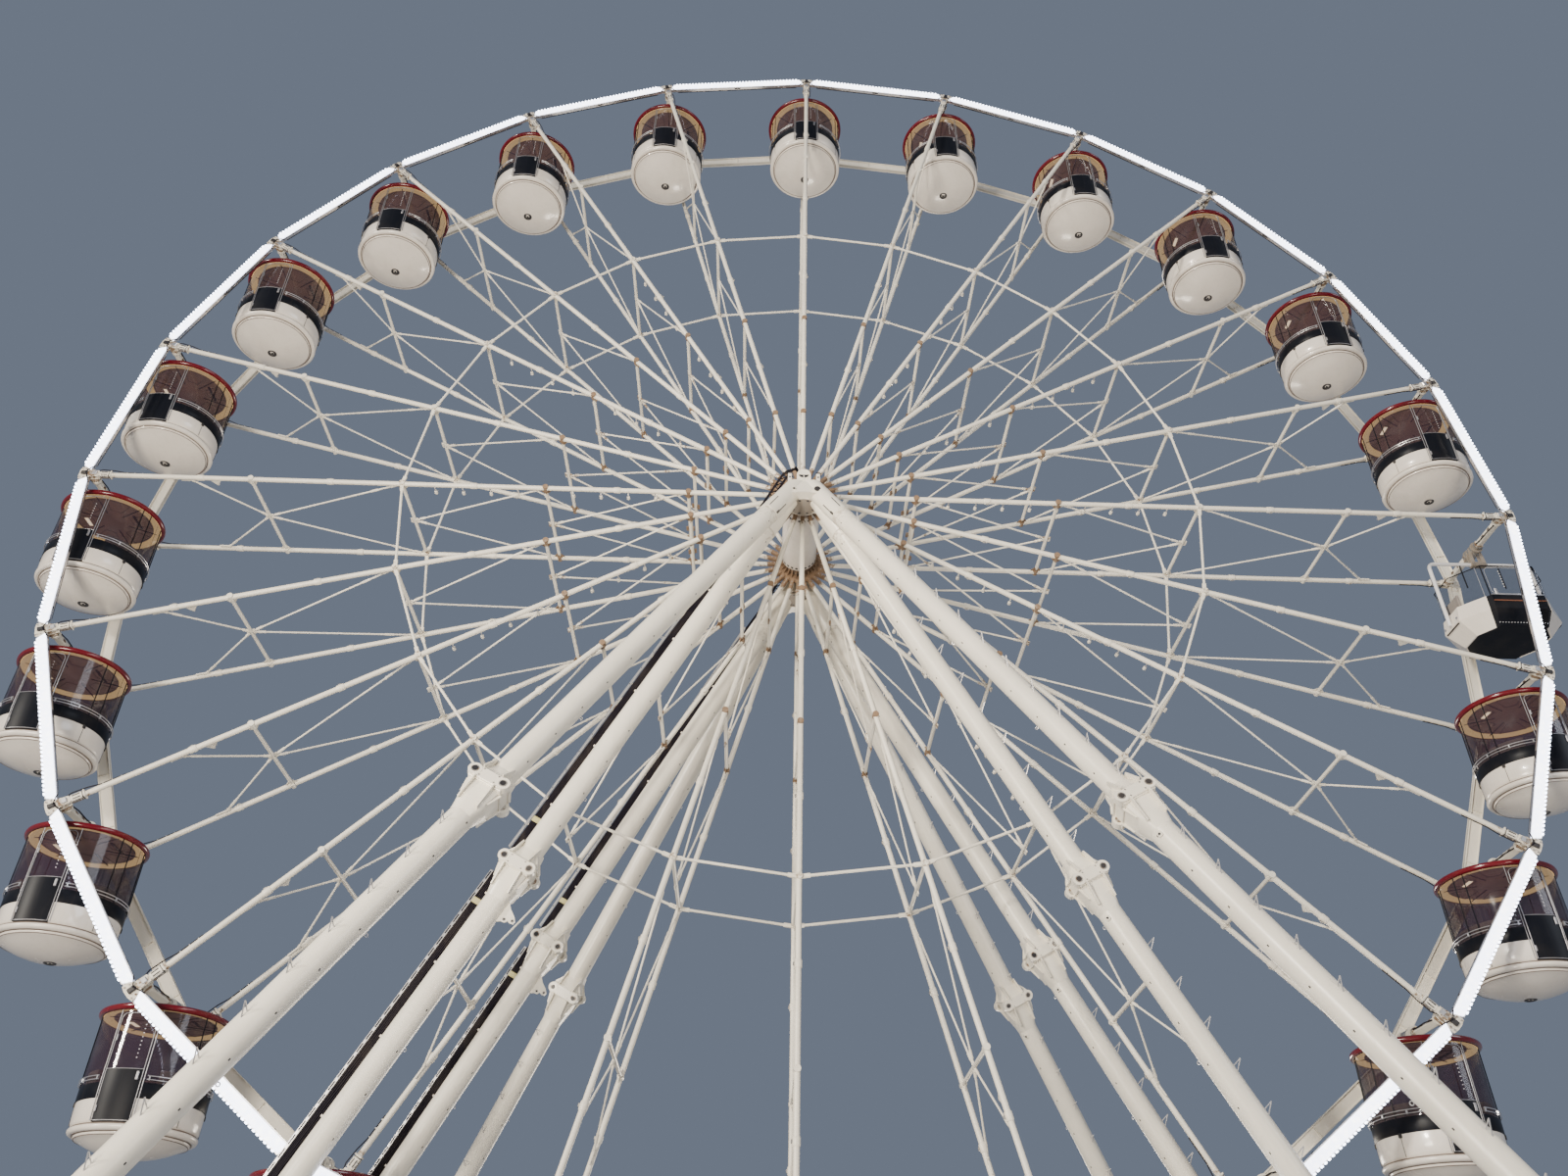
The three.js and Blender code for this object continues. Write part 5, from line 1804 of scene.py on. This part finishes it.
WIDE_TOP = (1.02, 0.80, 0.55, 0.30)
WIDE_BELLY = (1.08, 0.80, 0.55, 0.30)
WIDE_KEEL = (0.78, 0.62, 0.49, 0.24)
WIDE_TOP_Z = -1.72
WIDE_BELLY_Z = -2.05
WIDE_KEEL_Z = -2.375
WIDE_ROOF_Z = -0.985
LIGHT_ROW_Z = -2.31
COPPER_LINE_Z = -1.86
WIDE_WALL = (0.06, 0.06, 0.05, 0.05)
HOOP_HALF = 1.11
HOOP_TOP_Z = -0.37


def cut_plan(half_x, half_y, front, end):
    """Outline with cut corners: half sizes, half of the front side and half of an end."""
    return [(-front, -half_y), (front, -half_y), (half_x, -end), (half_x, end),
            (front, half_y), (-front, half_y), (-half_x, end), (-half_x, -end)]


def between(first, second, share):
    """Point on the way from one point to another."""
    return tuple(a + (b - a) * share for a, b in zip(first, second))


class WHEEL_OT_wide_cabin(Operator):
    """Make the wide cabin for a wheelchair in its tube hoop"""

    bl_idname = "wheel.wide_cabin"
    bl_label = "Wide cabin"

    def execute(self, context):
        piece = Piece("wide_cabin_body")
        self.hull(piece)
        for side in (-1, 1):
            self.nose(piece, side)
            self.long_side(piece, side)
        self.glazing(piece)
        self.inside(piece)
        self.hoop(piece)
        made = piece.build(None, None)
        made.location = PIVOTS[WIDE_CABIN]
        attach(made, WIDE_CABIN)
        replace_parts(made, WIDE_CABIN)
        return {"FINISHED"}

    def hull(self, piece):
        """Dark faceted body under the glass."""
        piece.add(loft(cut_plan(*WIDE_KEEL), WIDE_KEEL_Z, cut_plan(*WIDE_BELLY), WIDE_BELLY_Z), "dark_panel")
        inner = tuple(a - b for a, b in zip(WIDE_TOP, WIDE_WALL))
        outline, hollow = cut_plan(*WIDE_TOP), cut_plan(*inner)
        belly = cut_plan(*WIDE_BELLY)
        count = len(outline)
        points = [(x, y, WIDE_BELLY_Z) for x, y in belly] + [(x, y, WIDE_TOP_Z) for x, y in outline]
        points += [(x, y, WIDE_TOP_Z) for x, y in hollow] + [(x, y, WIDE_BELLY_Z) for x, y in hollow]
        faces = []
        for ring in range(4):
            low, high = ring * count, (ring + 1) % 4 * count
            faces += [(low + i, low + (i + 1) % count, high + (i + 1) % count, high + i)
                      for i in range(count)]
        piece.add((np.array(points), faces), "dark_panel")

    def nose(self, piece, side):
        """White faceted shell over one end and most of its two corner facets, down to the keel."""
        rows = []
        for height, plan in ((WIDE_KEEL_Z, WIDE_KEEL), (WIDE_BELLY_Z, WIDE_BELLY),
                             (WIDE_TOP_Z + 0.004, WIDE_TOP)):
            half_x, half_y, front, end = plan
            start_x, start_y = between((front, half_y), (half_x, end), 0.16)
            rows.append([(side * x, y, height) for x, y in
                         ((start_x, -start_y), (half_x, -end), (half_x, end), (start_x, start_y))])
        points = np.array([at for row in rows for at in row])
        lifted = points * (1.010, 1.014, 1.0)
        lifted[:4, 2] -= 0.008
        inner = points * (0.97, 0.97, 1.0)
        both = np.vstack((lifted, inner))
        faces = []
        for row in range(2):
            for i in range(3):
                a = row * 4 + i
                quad = (a, a + 1, a + 5, a + 4)
                faces += [quad, tuple(12 + k for k in reversed(quad))]
        border = [0, 1, 2, 3, 7, 11, 10, 9, 8, 4]
        faces += [(a, 12 + a, 12 + b, b) for a, b in zip(border, border[1:] + border[:1])]
        if side < 0:
            faces = [tuple(reversed(face)) for face in faces]
        piece.add((both, faces), "shell_white")
        x = side * (WIDE_BELLY[0] * 1.010 - 0.012)
        piece.add(box((0.030, 0.50, 0.014), (x, 0, WIDE_BELLY_Z - 0.03), 0.0), "rubber")
        for y in (-0.24, 0.24):
            piece.add(tube((x, y, -1.95), (x + side * 0.010, y, -1.95), 0.03, 14), "rail_metal")

    def long_side(self, piece, side):
        """Front or back of the body: copper line, light row, door outline, latch and lower lip."""
        y = side * (WIDE_TOP[1] + 0.004)
        front = WIDE_TOP[2]
        piece.add(box((2 * front - 0.02, 0.016, 0.018), (0, y, COPPER_LINE_Z), 0.0), "copper")
        piece.add(box((2 * front, 0.018, 0.020), (0, y, WIDE_TOP_Z + 0.008), 0.0), "rail_metal")
        low = float(np.interp(LIGHT_ROW_Z, (WIDE_KEEL_Z, WIDE_BELLY_Z), (WIDE_KEEL[1], WIDE_BELLY[1])))
        for k in range(17):
            piece.add(box((0.016, 0.012, 0.012), ((k - 8) * 0.062, side * (low + 0.004), LIGHT_ROW_Z), 0.0),
                      "hoop_white")
        piece.add(box((2 * WIDE_KEEL[2] + 0.04, 0.03, 0.02),
                      (0, side * (WIDE_KEEL[1] + 0.012), WIDE_KEEL_Z + 0.012), 0.004), "dark_panel")
        outline = [(x, y, z - 1.365) for x, z in rounded(0.52, 0.325, 0.09)]
        piece.add(sweep(outline, 0.0065, 8, closed=True), "rail_metal")
        for k in range(7):
            piece.add(box((0.018, 0.012, 0.018), (-0.22, y, -1.12 - k * 0.065), 0.0), "hoop_white")
        piece.add(box((0.055, 0.03, 0.15), (-0.43, y, -1.64), 0.008), "rail_metal")
        for x in (-1, 1):
            jamb = [(x * (front + 0.09), side * (WIDE_TOP[1] - 0.085), z) for z in (WIDE_TOP_Z, WIDE_ROOF_Z)]
            piece.add(sweep(jamb, 0.006, 6), "rail_metal")
            post = [(x * front, side * (WIDE_TOP[1] - 0.03), z)
                    for z in (WIDE_TOP_Z - 0.02, WIDE_ROOF_Z + 0.01)]
            piece.add(sweep(post, 0.013, 8), "dark_panel")

    def glazing(self, piece):
        """Clear panes between the body and the thin flat roof."""
        outline = [(x * 0.985, y * 0.985) for x, y in cut_plan(*WIDE_TOP)]
        for a, b in zip(outline, outline[1:] + outline[:1]):
            pane = [a, b, (b[0] * 0.992, b[1] * 0.992), (a[0] * 0.992, a[1] * 0.992)]
            piece.add(prism(pane, WIDE_TOP_Z, WIDE_ROOF_Z), "clear_glass")
        roof = cut_plan(*WIDE_TOP)
        piece.add(prism(roof, WIDE_ROOF_Z, WIDE_ROOF_Z + 0.018), "clear_glass")
        rim = [(x * 0.992, y * 0.992, WIDE_ROOF_Z + 0.010) for x, y in roof]
        for a, b in zip(rim, rim[1:] + rim[:1]):
            piece.add(sweep([a, b], 0.011, 8), "dark_panel")

    def inside(self, piece):
        """Floor, a bench at each end and a grab rail."""
        deck = tuple(a - 0.06 for a in between(WIDE_KEEL, WIDE_BELLY, 0.5))
        piece.add(prism(cut_plan(*deck), -2.20, -2.17), "rubber")
        for side in (-1, 1):
            piece.add(box((0.30, 0.60, 0.06), (side * 0.78, 0, -1.76), 0.01), "seat")
            piece.add(box((0.05, 0.60, 0.36), (side * 0.93, 0, -1.58), 0.01), "seat")
        piece.add(sweep([(-0.50, 0.70, -1.50), (0.50, 0.70, -1.50)], 0.014, 8), "rail_metal")

    def hoop(self, piece):
        """White tube hoop over the cabin and the bracket that hangs it from the cross axle."""
        corner = 0.13
        path = [(-HOOP_HALF, -2.0), (-HOOP_HALF, -1.2), (-HOOP_HALF, HOOP_TOP_Z - corner)]
        path += [(-HOOP_HALF + corner * (1 - math.cos(a)), HOOP_TOP_Z - corner * (1 - math.sin(a)))
                 for a in np.linspace(0.25, math.pi / 2, 6)]
        path += [(-x, z) for x, z in reversed(path)]
        piece.add(sweep([(x, 0, z) for x, z in path], 0.040, 16), "hoop_white")
        for x in (-0.42, 0.42):
            piece.add(tube((x, 0, HOOP_TOP_Z), (x, 0, WIDE_ROOF_Z), 0.014, 10), "dark_panel")
        bearing(piece, 0.16, "bearing_brown")
        for y in (-0.05, 0.05):
            cheek(piece, HOOP_TOP_Z - 0.03, 0.17, y, "bearing_brown")
        piece.add(box((0.34, 0.13, 0.10), (0, 0, HOOP_TOP_Z), 0.012), "bearing_brown", 0.2)
        piece.bolts([(x, -0.065, HOOP_TOP_Z) for x in (-0.13, 0.13)], (0, -1, 0), 0.018, 0.016)


# Stage

SENSOR_WIDTH = 36.0
VIEW_DEPTH = (0.1, 2000.0)
FLOOR_TONE = (0.62, 0.62, 0.62, 1.0)
SKY_TONE = (0.21, 0.25, 0.33, 1.0)

# Suns: name, turn in degrees, share of the key light, spread in degrees and colour
SUNS = (
    ("key_light", (76, 0, -48), 1.0, 6, (1.0, 0.93, 0.82)),
    ("side_light", (70, 0, 55), 0.22, 20, (0.86, 0.91, 1.0)),
)

# Large lights near the ground: name, place and share of the low light
LOW_LIGHTS = (
    ("low_light_left", (-15, -24, 5), 1.0),
    ("low_light_right", (15, -26, 5), 0.28),
    ("low_light_rear", (6, 30, 5), 0.35),
)
LOW_LIGHT_SIZE = 8.0
LOW_LIGHT_SPREAD = math.radians(95)
LOW_LIGHT_COLOUR = (1.0, 0.90, 0.76)
LOW_LIGHT_AIM = Vector((0, 0, AXLE_Z + 2))


class WHEEL_OT_stage(Operator):
    """Make the finishes, the floor, the lights and the camera"""

    bl_idname = "wheel.stage"
    bl_label = "Finishes and stage"

    def execute(self, context):
        settings = context.scene.wheel_stage
        make_finishes(context.scene.wheel_colours)
        self.camera(context)
        self.floor(settings)
        self.lights(context, settings)
        return {"FINISHED"}

    def camera(self, context):
        """Camera at the photograph's viewpoint."""
        lens = bpy.data.cameras.new("photo_camera")
        lens.sensor_width = SENSOR_WIDTH
        lens.lens = CAMERA_LENS
        lens.clip_start, lens.clip_end = VIEW_DEPTH
        camera = in_scene("photo_camera", lens)
        turn = (Matrix.Rotation(-CAMERA_YAW, 4, "Z") @ Matrix.Rotation(math.pi / 2 + CAMERA_PITCH, 4, "X")
                @ Matrix.Rotation(CAMERA_ROLL, 4, "Z"))
        camera.matrix_world = Matrix.Translation(CAMERA_AT) @ turn
        context.scene.camera = camera

    def floor(self, settings):
        """Plain pale floor."""
        half = settings.floor_size / 2
        mesh = bpy.data.meshes.new("floor")
        corners = [(-half, -half, 0), (half, -half, 0), (half, half, 0), (-half, half, 0)]
        mesh.from_pydata(corners, [], [(0, 1, 2, 3)])
        material = bpy.data.materials.new("floor_pale")
        material.use_nodes = True
        shader = material.node_tree.nodes["Principled BSDF"]
        shader.inputs["Base Color"].default_value = FLOOR_TONE
        shader.inputs["Roughness"].default_value = 0.8
        mesh.materials.append(material)
        in_scene("floor", mesh)

    def lights(self, context, settings):
        """Soft sky, two suns and three large lights near the ground."""
        world = bpy.data.worlds.new("studio")
        world.use_nodes = True
        sky = world.node_tree.nodes["Background"]
        sky.inputs["Color"].default_value = SKY_TONE
        sky.inputs["Strength"].default_value = settings.sky_strength
        context.scene.world = world
        for name, turn, share, spread, colour in SUNS:
            sun = bpy.data.lights.new(name, "SUN")
            sun.energy = settings.key_strength * share
            sun.angle = math.radians(spread)
            sun.color = colour
            in_scene(name, sun).rotation_euler = [math.radians(angle) for angle in turn]
        for name, at, share in LOW_LIGHTS:
            area = bpy.data.lights.new(name, "AREA")
            area.energy = settings.low_power * share
            area.size = LOW_LIGHT_SIZE
            area.spread = LOW_LIGHT_SPREAD
            area.color = LOW_LIGHT_COLOUR
            lamp = in_scene(name, area)
            lamp.location = at
            lamp.rotation_euler = (LOW_LIGHT_AIM - lamp.location).to_track_quat("-Z", "Y").to_euler()
            lamp.visible_camera = False


class WHEEL_PT_panel(Panel):
    """Lists the wheel's parts"""

    bl_label = "Ferris Wheel"
    bl_idname = "WHEEL_PT_panel"
    bl_space_type = "VIEW_3D"
    bl_region_type = "UI"
    bl_category = "Ferris Wheel"

    def draw(self, context):
        """Settings first, then a button for each step."""
        layout = self.layout
        for group in (context.scene.wheel_sizes, context.scene.wheel_colours, context.scene.wheel_stage):
            for name in group.__annotations__:
                layout.prop(group, name)
        for operator in STEPS:
            layout.operator(operator.bl_idname)


STEPS = (
    WHEEL_OT_stage,
    WHEEL_OT_spokes,
    WHEEL_OT_front_rim,
    WHEEL_OT_rear_rim,
    WHEEL_OT_hub,
    WHEEL_OT_axle_heads,
    WHEEL_OT_legs,
    WHEEL_OT_cable_trays,
    WHEEL_OT_ground_frame,
    WHEEL_OT_round_cabins,
    WHEEL_OT_wide_cabin,
)
CLASSES = (WheelSizes, WheelColours, StageSettings, *STEPS, WHEEL_PT_panel)


def register():
    """Register the classes and their settings on the scene."""
    for cls in CLASSES:
        bpy.utils.register_class(cls)
    bpy.types.Scene.wheel_sizes = PointerProperty(type=WheelSizes)
    bpy.types.Scene.wheel_colours = PointerProperty(type=WheelColours)
    bpy.types.Scene.wheel_stage = PointerProperty(type=StageSettings)


def unregister():
    """Take the settings and the classes away again."""
    del bpy.types.Scene.wheel_sizes
    del bpy.types.Scene.wheel_colours
    del bpy.types.Scene.wheel_stage
    for cls in reversed(CLASSES):
        bpy.utils.unregister_class(cls)


def main():
    """Make every step in order."""
    register()
    bpy.ops.wheel.stage()
    bpy.ops.wheel.spokes()
    bpy.ops.wheel.front_rim()
    bpy.ops.wheel.rear_rim()
    bpy.ops.wheel.hub()
    bpy.ops.wheel.axle_heads()
    bpy.ops.wheel.legs()
    bpy.ops.wheel.cable_trays()
    bpy.ops.wheel.ground_frame()
    bpy.ops.wheel.round_cabins()
    bpy.ops.wheel.wide_cabin()


if __name__ == "__main__":
    main()
